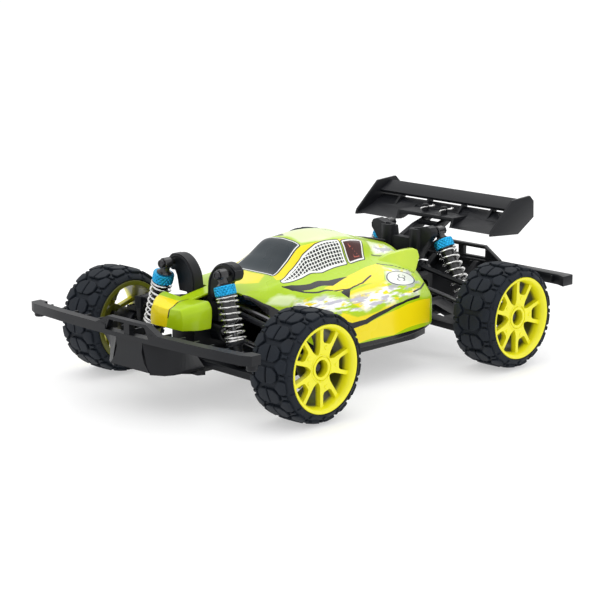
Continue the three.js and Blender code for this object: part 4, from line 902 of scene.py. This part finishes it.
def tread_lug(widths, halves, height, count, phase):
    """A block that follows the carcass outwards from the middle. At each width it has a chamfered
    section: `halves` long each way round the tyre, and `height` proud of the carcass. The
    block is then repeated `count` times round the wheel."""
    widths, halves = np.asarray(widths, float), np.asarray(halves, float)
    fine = np.linspace(0, 1, 9)
    span = np.interp(fine, np.linspace(0, 1, len(widths)), widths)
    half = np.interp(span, widths, halves)
    run = np.concatenate([[0], np.cumsum(np.linalg.norm(np.diff(CARCASS, axis=0), axis=1))])
    rows = np.concatenate([[span[0]], span, [span[-1]]])
    half = np.concatenate([[half[0]], half, [half[-1]]])
    rows[1] += 0.35
    rows[-2] -= 0.35
    top = np.full(len(rows), float(height))
    top[[0, -1]] -= 0.4
    place = np.stack([np.interp(rows, run, CARCASS[:, k]) for k in (0, 1)], axis=-1)
    ahead = np.stack([np.interp(rows + 0.2, run, CARCASS[:, k]) for k in (0, 1)], axis=-1)
    behind = np.stack([np.interp(rows - 0.2, run, CARCASS[:, k]) for k in (0, 1)], axis=-1)
    along = ahead - behind
    along /= np.linalg.norm(along, axis=1, keepdims=True)
    out = np.stack([-along[:, 1], along[:, 0]], axis=-1)
    inset = np.array([0, 0, 0.4, 0.4, 0.4, 0, 0])
    side = np.array([-1, -1, -1, 0, 1, 1, 1])
    lift = np.array([0, 1, 1, 1, 1, 1, 0])
    chamfer = np.array([0, -0.4, 0, 0, 0, -0.4, 0])
    t = side * (half[:, None] - inset)
    h = np.where(lift, top[:, None] + chamfer, -0.7)
    x = place[:, :1] + out[:, :1] * h
    r = place[:, 1:] + out[:, 1:] * h
    turn = phase + 2 * np.pi * np.arange(count) / count
    angle = t[None] / 33.0 + turn[:, None, None]
    points = np.stack([np.broadcast_to(x, angle.shape), r * np.sin(angle), r * np.cos(angle)], axis=-1)
    return joined(*[tube(block) for block in points])


def tyre_shape(count, tread):
    pitch = 2 * np.pi / count
    right_half = [
        tread_lug([0.45, 4.6, 8.0], [4.7, 4.7, 2.3], tread, count, 0.0),
        tread_lug([6.4, 8.4, 9.4, 11.8, 13.4], [0.5, 2.6, 4.2, 4.3, 3.4], tread - 0.2, count, pitch / 2),
        tread_lug([9.7, 11.4, 13.0], [1.5, 0.9, 0.9], tread - 0.5, count, 0.0),
        tread_lug([14.6, 17.0], [1.5, 1.1], 1.0, count, 0.0),
    ]
    sidewall = [(15.9, 26.5), (15.3, 26.2), (14.2, 26.0), (13.6, 25.2), (13.4, 24.5)]
    outer = smooth_line(CARCASS, 30)
    half = np.concatenate([outer, np.array(sidewall)])
    profile = np.concatenate([half[::-1], (half * (-1, 1))[1:]])
    carcass = turned(np.concatenate([profile, profile[:1]]), 128)
    bead_ring = turned([(15.75, 27.3), (15.85, 27.0), (15.75, 26.7), (15.4, 26.7), (15.4, 27.3),
                        (15.75, 27.3)], 128)
    lugs = joined(*right_half)
    return joined(carcass, bead_ring, scaled(bead_ring, (-1, 1, 1)), lugs, scaled(lugs, (-1, 1, 1)))


def rim_shape(lobes):
    """Barrel, hub and lobes. Each lobe leaves the hub as one and splits in two before the barrel."""
    barrel = turned([
        (-16, 22.9), (-16, 25.6), (-15.4, 26.0), (-14.8, 25.6), (-14.4, 24.2), (13.4, 24.2), (14.6, 25.9),
        (15.5, 26.1), (15.8, 25.8), (15.85, 25.2), (15.4, 24.4), (14.6, 23.6), (12.5, 22.9), (11.0, 22.5),
        (2.0, 22.4), (-16, 22.9),
    ], 96)
    hub = turned([
        (0.4, 2.7), (0.4, 8.3), (11.8, 8.6), (12.4, 8.3), (12.7, 7.9), (12.7, 7.5), (11.8, 7.3), (11.8, 6.8),
        (12.7, 6.6), (12.8, 5.3), (12.4, 4.9), (6.2, 4.7), (6.2, 2.7), (0.4, 2.7),
    ], 64)
    outline = [
        (-4.9, 6.6), (-4.4, 8.6), (-4.5, 10.8), (-5.6, 14.5), (-7.6, 20.6), (-8.6, 22.9), (-5.2, 22.9),
        (-4.9, 20.4),
        (-3.4, 15.8), (-2.2, 14.6), (2.2, 14.6), (3.4, 15.8), (4.9, 20.4), (5.2, 22.9), (8.6, 22.9),
        (7.6, 20.6),
        (5.6, 14.5), (4.5, 10.8), (4.4, 8.6), (4.9, 6.6),
    ]
    lobe = joined(
        outline_plate(outline, "yz", 8.2, 12.2),
        moved(turned([(12.0, 0.0), (12.7, 0.0), (12.7, 1.0), (12.4, 1.3), (12.0, 1.3), (12.0, 0.0)], 16),
              (0, 0, 12.2)),
        outline_plate([(-0.9, 10.2), (0.9, 10.2), (0.9, 16.6), (-0.9, 16.6)], "yz", 3.5, 8.0),
    )
    turns = 2 * np.pi * np.arange(lobes) / lobes - np.pi / 2
    spokes = [placed(lobe, (0, 0, 0), (1, 0, 0), (0, math.cos(t), math.sin(t)),
                     (0, -math.sin(t), math.cos(t))) for t in turns]
    return joined(barrel, hub, *spokes)


def axle_shape():
    """Stub axle with its drive cup, wheel hex and a six-sided lock nut at its end."""
    turned_part = turned([
        (-13.5, 0), (-13.5, 4.2), (-23.3, 4.2), (-23.5, 4.6), (-23.5, 5.0), (-23.2, 5.2), (-12.3, 5.2),
        (-12.1, 5.0),
        (-12.1, 2.4), (9.2, 2.4), (9.6, 2.0), (9.6, 0),
    ], 40)
    t = np.arange(6) * np.pi / 3
    hexagon = np.stack([np.cos(t), np.sin(t)], axis=-1)
    nut = outline_plate(hexagon * 3.9, "yz", 6.5, 8.4)
    drive = outline_plate(hexagon * 5.6, "yz", -4.4, 0.1)
    return joined(turned_part, nut, drive)


def wheel_place(shape, side, end):
    mirrored = scaled(shape, (side, 1, 1))
    return moved(mirrored, (side * WHEEL_X, end * AXLE_Y, AXLE_Z))


class BUGGY_OT_wheels(bpy.types.Operator):
    """Build four tyres with their tread blocks, four rims, and the stub axles with nuts"""

    bl_idname = "buggy.wheels"
    bl_label = "Wheels"

    def execute(self, context):
        settings = context.scene.buggy_wheels
        tyre = tyre_shape(settings.blocks, settings.tread / MM)
        rim = rim_shape(settings.lobes)
        axle = axle_shape()
        for corner, side, end in CORNERS:
            wheel = f"{corner}_wheel"
            name = f"tyre_{corner}"
            piece_of(name + "_look", wheel_place(tyre, side, end), finish("tyre_rubber"), wheel,
                     "tyre_rubber", stands_for=(name,))
            name = f"rim_{corner}"
            piece_of(name + "_look", wheel_place(rim, side, end), finish("rim_plastic"), wheel,
                     "yellow_rim", bevel=0.45, stands_for=(name,))
            name = f"wheel_axle_{corner}"
            piece_of(name + "_look", wheel_place(axle, side, end), finish("black_steel"), wheel,
                     "dark_steel", bevel=0.25, stands_for=(name,))
        return {"FINISHED"}


# ---- shocks ----

def shock_frame(corner, side, end):
    """Top pivot, the three axes of the shock (its own z runs up along it) and its length."""
    which = corner.split("_")[0]
    (tx, tz), (fx, fz) = SHOCK_TOP[which], SHOCK_FOOT[which]
    y = end * (AXLE_Y + SHOCK_SETBACK)
    top, foot = np.array([side * tx, y, tz]), np.array([side * fx, y, fz])
    length = np.linalg.norm(top - foot)
    up = (top - foot) / length
    across = np.array([0.0, end, 0.0])
    return top, (np.cross(across, up), across, up), length


def knurled_collar():
    """A drum whose wall carries two crossed sets of ridges: r = R + d max(sin, 0) each way."""
    z = np.linspace(-12.3, -6.5, 25)
    t = np.linspace(0, 2 * np.pi, 144, endpoint=False)
    lead = 2.2 * (z[:, None] + 9.4)
    ridge = np.maximum(np.sin(18 * t + lead), np.sin(18 * t - lead))
    edge = np.clip(np.minimum(z + 12.3, -6.5 - z) / 0.6, 0, 1)[:, None]
    r = 6.15 + 0.35 * np.clip(ridge, -0.4, 1) * edge
    wall = np.stack([r * np.cos(t), r * np.sin(t), np.broadcast_to(z[:, None], r.shape)], axis=-1)
    return tube(wall)


def shock_head():
    """Black cap, neck and the ball eye at the top of the shock."""
    neck = turned([(-7.2, 0), (-7.2, 4.4), (-6.0, 4.6), (-5.2, 3.4), (-4.0, 2.9), (-1.5, 2.9), (-1.5, 0)],
                  32, "z")
    eye = turned([(-2.8, 1.6), (-2.8, 2.9), (-2.3, 3.4), (2.3, 3.4), (2.8, 2.9), (2.8, 1.6), (-2.8, 1.6)],
                 32, "y")
    ball = turned([(-3.3, 0), (-3.2, 1.1), (-2.4, 2.0), (0, 2.5), (2.4, 2.0), (3.2, 1.1), (3.3, 0)], 24, "y")
    return joined(neck, eye, ball)


def shock_tube(length):
    end = -length * 0.56
    return turned([
        (-12.0, 0), (-12.0, 5.3), (-13.0, 5.3), (-13.2, 4.6), (end + 3.2, 4.5), (end + 3.0, 4.9),
        (end + 0.6, 4.9),
        (end, 4.3), (end, 0),
    ], 40, "z")


def shock_foot(length):
    seat = -(length - 11.5)
    cup = turned([
        (seat, 0), (seat, 6.3), (seat - 0.5, 6.5), (seat - 1.5, 6.5), (seat - 2.0, 6.1), (seat - 2.4, 3.4),
        (seat - 4.5, 2.8),
        (-length + 2.4, 2.8), (-length + 2.4, 0),
    ], 36, "z")
    eye = turned([(-2.8, 2.2), (-2.8, 2.8), (-2.4, 3.2), (2.4, 3.2), (2.8, 2.8), (2.8, 2.2), (-2.8, 2.2)],
                 28, "y")
    return joined(cup, moved(eye, (0, 0, -length)))


def spring_shape(top, bottom, radius, wire, turns):
    """Wire carried round a helix whose pitch closes up over the first and last turn."""
    t = np.linspace(0, 1, int(turns * 28))
    flat = 0.9 / turns
    rise = np.interp(t, [0, flat, 1 - flat, 1], [0, 0.35 * flat, 1 - 0.35 * flat, 1])
    angle = 2 * np.pi * turns * t
    centre = np.stack([radius * np.cos(angle), radius * np.sin(angle), top + (bottom - top) * rise], axis=-1)
    out = np.stack([np.cos(angle), np.sin(angle), np.zeros_like(t)], axis=-1)
    ring = np.linspace(0, 2 * np.pi, 10, endpoint=False)
    up = np.array([0.0, 0.0, 1.0])
    section = wire * (out[:, None] * np.cos(ring)[None, :, None] + up * np.sin(ring)[None, :, None])
    return tube(centre[:, None] + section)


class BUGGY_OT_shocks(bpy.types.Operator):
    """Build the four oil shocks: head, knurled collar, body, spring, seat and rod"""

    bl_idname = "buggy.shocks"
    bl_label = "Shocks"

    def execute(self, context):
        settings = context.scene.buggy_shocks
        for corner, side, end in CORNERS:
            top, axes, length = shock_frame(corner, side, end)
            damper, slide = f"{corner}_damper", f"{corner}_rod"

            def put(name, shape, material, body, slot, **more):
                return piece_of(f"{name}_{corner}", placed(shape, top, *axes), finish(material), body, slot,
                                **more)

            head = joined(shock_head(), shock_tube(length))
            put("shock_body_look", head, "black_gloss", damper, "black_plastic",
                stands_for=(f"shock_body_{corner}",))
            put("shock_collar", knurled_collar(), "blue_anodised", damper, "blue_anodised")
            shaft = turned([(-24, 0), (-24, 1.4), (-length + 4, 1.4), (-length + 4, 0)], 20, "z")
            put("shock_shaft", shaft, "dark_steel", slide, "dark_steel")
            put("shock_foot_look", shock_foot(length), "black_nylon", slide, "black_plastic",
                stands_for=(f"shock_rod_{corner}",))
            wire = settings.wire / MM
            high, low = -12.6 - wire, -(length - 11.5) + wire
            coil = spring_shape(high, low, settings.spring / MM, wire, settings.turns)
            piece = put("spring_look", coil, "spring_wire", None, "spring_steel",
                        stands_for=(f"spring_{corner}",))
            up = axes[2]
            tuple((top + up * high) * MM)
            tuple((top + up * low) * MM)
            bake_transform(piece)
        return {"FINISHED"}


# ---- towers, bumpers and wing ----

def screw(x, y, z, end, radius=2.5, reach=1.6):
    """A round cap-head screw facing along Y, with a hex pocket."""
    t = np.arange(24) * np.pi / 12
    circle = np.stack([np.cos(t), np.sin(t)], axis=-1)
    hexed = circle / np.maximum.reduce([np.abs(circle @ [math.cos(a), math.sin(a)]) for a in (0,
            math.pi / 3, 2 * math.pi / 3)])[:, None]
    rings = [(0, radius * circle), (0, radius * circle), (reach * 0.8, radius * circle),
             (reach, radius * 0.86 * circle),
             (reach, radius * 0.5 * hexed), (reach * 0.3, radius * 0.5 * hexed)]
    points = np.stack([np.concatenate([np.full((24, 1), d), ring], axis=1) for d, ring in rings[1:]])
    points = points[..., [1, 0, 2]] * (1, end, 1)
    return moved(tube(points), (x, y, z))


class BUGGY_OT_towers(bpy.types.Operator):
    """Build the two front horns, the rear shock tower and their screws"""

    bl_idname = "buggy.towers"
    bl_label = "Shock towers"

    def execute(self, context):
        outer = smooth_line([(5.6, 51.4), (5.6, 60), (5.9, 68), (7.5, 74.2), (12.6, 80.4), (18.8, 83.2),
                             (25.2, 82.6), (29.4, 79.6)], 30)
        lobe = smooth_line([(29.6, 77.4), (28.6, 74.6), (26.0, 72.8)], 8)
        inner = smooth_line([(23.2, 73.0), (21.4, 69.5), (20.3, 64.5), (19.5, 61.0)], 10)
        foot = [(10.2, 61.0), (10.2, 51.4)]
        outline = np.concatenate([outer, lobe, inner, foot])
        horn = outline_plate(outline, "xz", -92.0, -85.0)
        rail = np.concatenate([outer[4:], lobe[:4]])
        centre = outline.mean(axis=0)
        inset = rail + (centre - rail) * 0.13
        raised = [np.insert(inset, 1, y, axis=1) for y in (-92.1, -84.9)]
        rails = joined(*[rod(path, 0.55, 8) for path in raised])
        cylinder = moved(turned([(-3.4, 0), (-3.4, 4.4), (-2.8, 5.1), (2.8, 5.1), (3.4, 4.4), (3.4, 0)], 36,
                                "y"), (24.3, -88.4, 77.9))
        both = both_sides(joined(horn, rails, cylinder))
        yoke = outline_plate([(-10, 51.4), (10, 51.4), (10, 56), (-10, 56)], "xz", -92, -85)
        piece_of("front_shock_tower_look", joined(both, yoke), finish("black_nylon"), "chassis",
                 "black_plastic", bevel=0.55,
                 stands_for=("front_shock_tower",))
        heads = joined(*[screw(s * SHOCK_TOP["front"][0], -101.3, SHOCK_TOP["front"][1], -1) for s in (-1,
                                                                                                       1)],
                       *[screw(s * SHOCK_TOP["rear"][0], 101.2, SHOCK_TOP["rear"][1], 1) for s in (-1, 1)])
        pins = joined(*[
            moved(turned([(-7.5, 0), (-7.5, 1.5), (7.5, 1.5), (7.5, 0)], 16, "y"),
                  (s * SHOCK_TOP[e][0], k * 95.0, SHOCK_TOP[e][1]))
            for s in (-1, 1) for e, k in (("front", -1), ("rear", 1))
        ])
        piece_of("tower_screws", joined(heads, pins), finish("black_steel"), "chassis", "dark_steel",
                 bevel=0.12)
        refined("rear_shock_tower", finish("black_nylon"), "black_plastic", bevel=0.5)
        refined("wing_mount", finish("black_nylon"), "black_plastic", bevel=0.5)
        return {"FINISHED"}


def front_bumper_shape():
    """Bowed beam, raised middle with two windows, front panel, hollow cheeks, skid and feet."""
    half = [(19, -150.9), (30, -150.6), (62, -149.3), (91, -146.8), (97, -144), (97, -137), (90, -137),
            (88, -141),
            (60, -143.4), (30, -144.6), (19, -144.8)]
    whole = half + [(-x, y) for x, y in half[::-1]]
    parts = [outline_plate(whole, "xy", 44.4, 47.2), both_sides(outline_plate(half, "xy", 47.1, 50.2))]
    arch = [(17, 55.5), (28.5, 49.8), (23.8, 49.8), (15.8, 53.6)]
    parts.append(outline_plate(arch + [(-x, z) for x, z in arch[::-1]], "xz", -150.8, -146.4))
    parts.append(outline_plate([(-2.4, 46.8), (2.4, 46.8), (2.4, 54.2), (-2.4, 54.2)], "xz", -150.7, -146.4))
    parts.append(both_sides(outline_plate([(15.0, 54.4), (19.0, 46.9), (29.0, 46.9), (28.4, 49.9)], "xz",
                                          -150.6, -146.6)))
    panel = [(12, 45), (11, 38), (13, 32), (17, 27)]
    parts.append(outline_plate(panel + [(-x, z) for x, z in panel[::-1]], "xz", -149.0, -144.6))
    top = np.array([(11, -148.8), (16, -145.6), (24, -141.2), (32, -139.4), (40, -140.2), (46, -142.8)],
                   float)
    foot = np.array([(16, -148.6), (20, -146.8), (24, -143.6), (26.5, -138.0), (27.5, -130.0),
                     (28, -117.5)], float)
    high, low = smooth_line(top, 16), smooth_line(foot, 16)
    ring = [np.column_stack([path + (0, back), np.full(len(path), z)])
            for path, back, z in ((high, 0, 45.0), (low, 0, 26.6), (low, 1.6, 26.6), (high, 1.6, 45.0))]
    parts.append(both_sides(tube(np.stack(ring, axis=1))))
    skid = [(-148.6, 26.6), (-116.4, 20.2), (-116.4, 23), (-146, 29.5)]
    parts.append(outline_plate(skid, "yz", -17.5, 17.5))
    parts.append(both_sides(outline_plate([(16, -147.6), (16, -116.4), (28, -116.4), (27.5, -130),
                                           (26.5, -138), (24, -143)], "xy", 25.2, 27.0)))
    post = turned([(41, 0), (41, 2.8), (41.6, 3.3), (45, 3.3), (45, 0)], 24, "z")
    parts.append(both_sides(moved(post, (93.5, -140.5, 0))))
    parts += [outline_plate([(-144.2, 45.2), (-137.6, 45.2), (-137.6, 49.4), (-144.2, 49.4)], "yz", x - 0.6,
                            x + 0.6)
              for x in np.linspace(-84, 84, 15)]
    return joined(*parts)


class BUGGY_OT_bumpers(bpy.types.Operator):
    """Build the front and rear bumpers with their ribs and windows"""

    bl_idname = "buggy.bumpers"
    bl_label = "Bumpers"

    def execute(self, context):
        nylon = finish("black_nylon")
        piece_of("front_bumper_look", front_bumper_shape(), nylon, "chassis", "black_plastic", bevel=0.55,
                 stands_for=("front_bumper",))
        ribs = [outline_plate([(140.5, 45.0), (149.4, 45.0), (149.4, 50.0), (140.5, 50.0)], "yz", x - 0.6,
                              x + 0.6)
                for x in np.linspace(-82, 82, 13)]
        refined("rear_bumper", nylon, "black_plastic", bevel=0.6, extra=joined(*ribs))
        return {"FINISHED"}


class BUGGY_OT_wing(bpy.types.Operator):
    """Build the rear wing: main plane, raised flap, ribs, end plates, pegs and clips"""

    bl_idname = "buggy.wing"
    bl_label = "Rear wing"

    def execute(self, context):
        nylon = finish("black_nylon")
        refined("rear_wing", nylon, "black_plastic", bevel=0.45)
        clips = []
        for side in (-1, 1):
            t = np.linspace(0, 2 * np.pi * 0.82, 26)
            loop = np.stack([side * 8.2 + 3.2 * np.sin(t), 123.6 + 3.2 * np.cos(t), np.full_like(t, 87.0)],
                            axis=-1)
            legs = np.array([(side * 8.2 + 2.4, 118.0, 87.0), (side * 8.2 + 2.9, 111.5, 87.0)])
            clips.append(rod(np.concatenate([loop, legs]), 0.55, 8))
        peg = turned([(83.8, 0), (83.8, 2.2), (88.2, 2.2), (88.8, 1.7), (88.8, 0)], 24, "z")
        pegs = both_sides(moved(peg, (8.2, 119.5, 0)))
        piece_of("wing_pegs", pegs, nylon, "chassis", "black_plastic")
        piece_of("wing_clips", joined(*clips), finish("spring_wire"), "chassis", "spring_steel")
        return {"FINISHED"}


# ---- chassis and running gear ----

class BUGGY_OT_running_gear(bpy.types.Operator):
    """Build the chassis tub, gearboxes, arms, links, carriers, shafts and electrics"""

    bl_idname = "buggy.running_gear"
    bl_label = "Chassis and running gear"

    def execute(self, context):
        nylon, steel = finish("black_nylon"), finish("dark_steel")
        for node, width in (("chassis_tub", 0.5), ("front_gearbox", 0.5), ("rear_gearbox", 0.5),
                            ("receiver_box", 0.6), ("steering_servo", 0.5)):
            refined(node, nylon, "black_plastic", bevel=width)
        for node in ("drive_motor", "centre_shaft", "steering_rack"):
            refined(node, steel, "dark_steel", bevel=0.4)
        refined("battery_pack", finish("battery_wrap"), "battery_wrap", bevel=0.8)
        for corner, side, end in CORNERS:
            refined(f"lower_arm_{corner}", nylon, "black_plastic", bevel=0.45)
            refined(f"upper_link_{corner}", nylon, "black_plastic", bevel=0.35)
            refined(f"dogbone_{corner}", steel, "dark_steel", bevel=0.2)
        for side in ("left", "right"):
            refined(f"caster_block_{side}", nylon, "black_plastic", bevel=0.4)
            refined(f"steering_knuckle_{side}", nylon, "black_plastic", bevel=0.35)
            refined(f"hub_carrier_{side}", nylon, "black_plastic", bevel=0.4)
            refined(f"tie_rod_{side}", steel, "dark_steel", bevel=0.25)
        return {"FINISHED"}


# ---- stage ----

class BUGGY_OT_stage(bpy.types.Operator):
    """Set up the pale floor, the soft lights and the camera"""

    bl_idname = "buggy.stage"
    bl_label = "Stage"

    def execute(self, context):
        scene = context.scene
        settings = scene.buggy_stage
        t = np.linspace(-1, 1, 25)
        x, y = np.meshgrid(8.0 * t, 8.0 * t, indexing="ij")
        floor_mesh = mesh_of("floor", surface(np.stack([x, y, np.full_like(x, -0.0002)], axis=-1) / MM))
        floor_mesh.materials.append(finish("studio_floor"))
        floor = bpy.data.objects.new("floor", floor_mesh)
        scene.collection.objects.link(floor)
        lights = [
            ("key", (-0.3, -1.3, 1.5), 5.0, 0.9),
            ("fill", (1.5, 0.2, 1.1), 3.0, 1.4),
            ("back", (-0.2, 1.3, 1.2), 4.0, 1.0),
            ("top", (0.2, 0.1, 1.7), 4.5, 1.2),
        ]
        for name, place, power, size in lights:
            light = bpy.data.lights.new(name, "AREA")
            light.energy = power
            light.size = size
            holder = bpy.data.objects.new(name, light)
            holder.location = place
            holder.rotation_mode = "QUATERNION"
            holder.rotation_quaternion = (-Vector(place)).to_track_quat("-Z", "Y")
            scene.collection.objects.link(holder)
        world = bpy.data.worlds.new("studio")
        world.use_nodes = True
        world.node_tree.nodes["Background"].inputs["Color"].default_value = (1, 1, 1, 1)
        world.node_tree.nodes["Background"].inputs["Strength"].default_value = 1.0
        scene.world = world
        scene.view_settings.view_transform = "Standard"
        camera_data = bpy.data.cameras.new("camera")
        camera_data.lens = settings.lens
        camera_data.sensor_width = 36.0
        camera = bpy.data.objects.new("camera", camera_data)
        camera.location = settings.place
        camera.rotation_mode = "QUATERNION"
        look = Vector(settings.target) - Vector(settings.place)
        camera.rotation_quaternion = look.to_track_quat("-Z", "Y")
        scene.collection.objects.link(camera)
        scene.camera = camera
        return {"FINISHED"}


class BUGGY_PT_build(bpy.types.Panel):
    """Lists the steps that build the buggy"""

    bl_idname = "BUGGY_PT_build"
    bl_label = "RC buggy"
    bl_space_type = "VIEW_3D"
    bl_region_type = "UI"
    bl_category = "Buggy"

    def draw(self, context):
        for step in STEPS:
            self.layout.operator(step.bl_idname)


STEPS = (
    BUGGY_OT_stage,
    BUGGY_OT_shell,
    BUGGY_OT_wheels,
    BUGGY_OT_shocks,
    BUGGY_OT_towers,
    BUGGY_OT_bumpers,
    BUGGY_OT_wing,
    BUGGY_OT_running_gear,
)
SETTINGS = {
    "buggy_colours": ColourSettings,
    "buggy_shell": ShellSettings,
    "buggy_wheels": WheelSettings,
    "buggy_shocks": ShockSettings,
    "buggy_stage": StageSettings,
}


def register():
    for group in (*SETTINGS.values(), *STEPS, BUGGY_PT_build):
        bpy.utils.register_class(group)
    for name, group in SETTINGS.items():
        setattr(bpy.types.Scene, name, PointerProperty(type=group))


def unregister():
    for name in SETTINGS:
        delattr(bpy.types.Scene, name)
    for group in (BUGGY_PT_build, *reversed(STEPS), *SETTINGS.values()):
        bpy.utils.unregister_class(group)


def main():
    register()
    bpy.ops.buggy.stage()
    bpy.ops.buggy.shell()
    bpy.ops.buggy.wheels()
    bpy.ops.buggy.shocks()
    bpy.ops.buggy.towers()
    bpy.ops.buggy.bumpers()
    bpy.ops.buggy.wing()
    bpy.ops.buggy.running_gear()


if __name__ == "__main__":
    main()
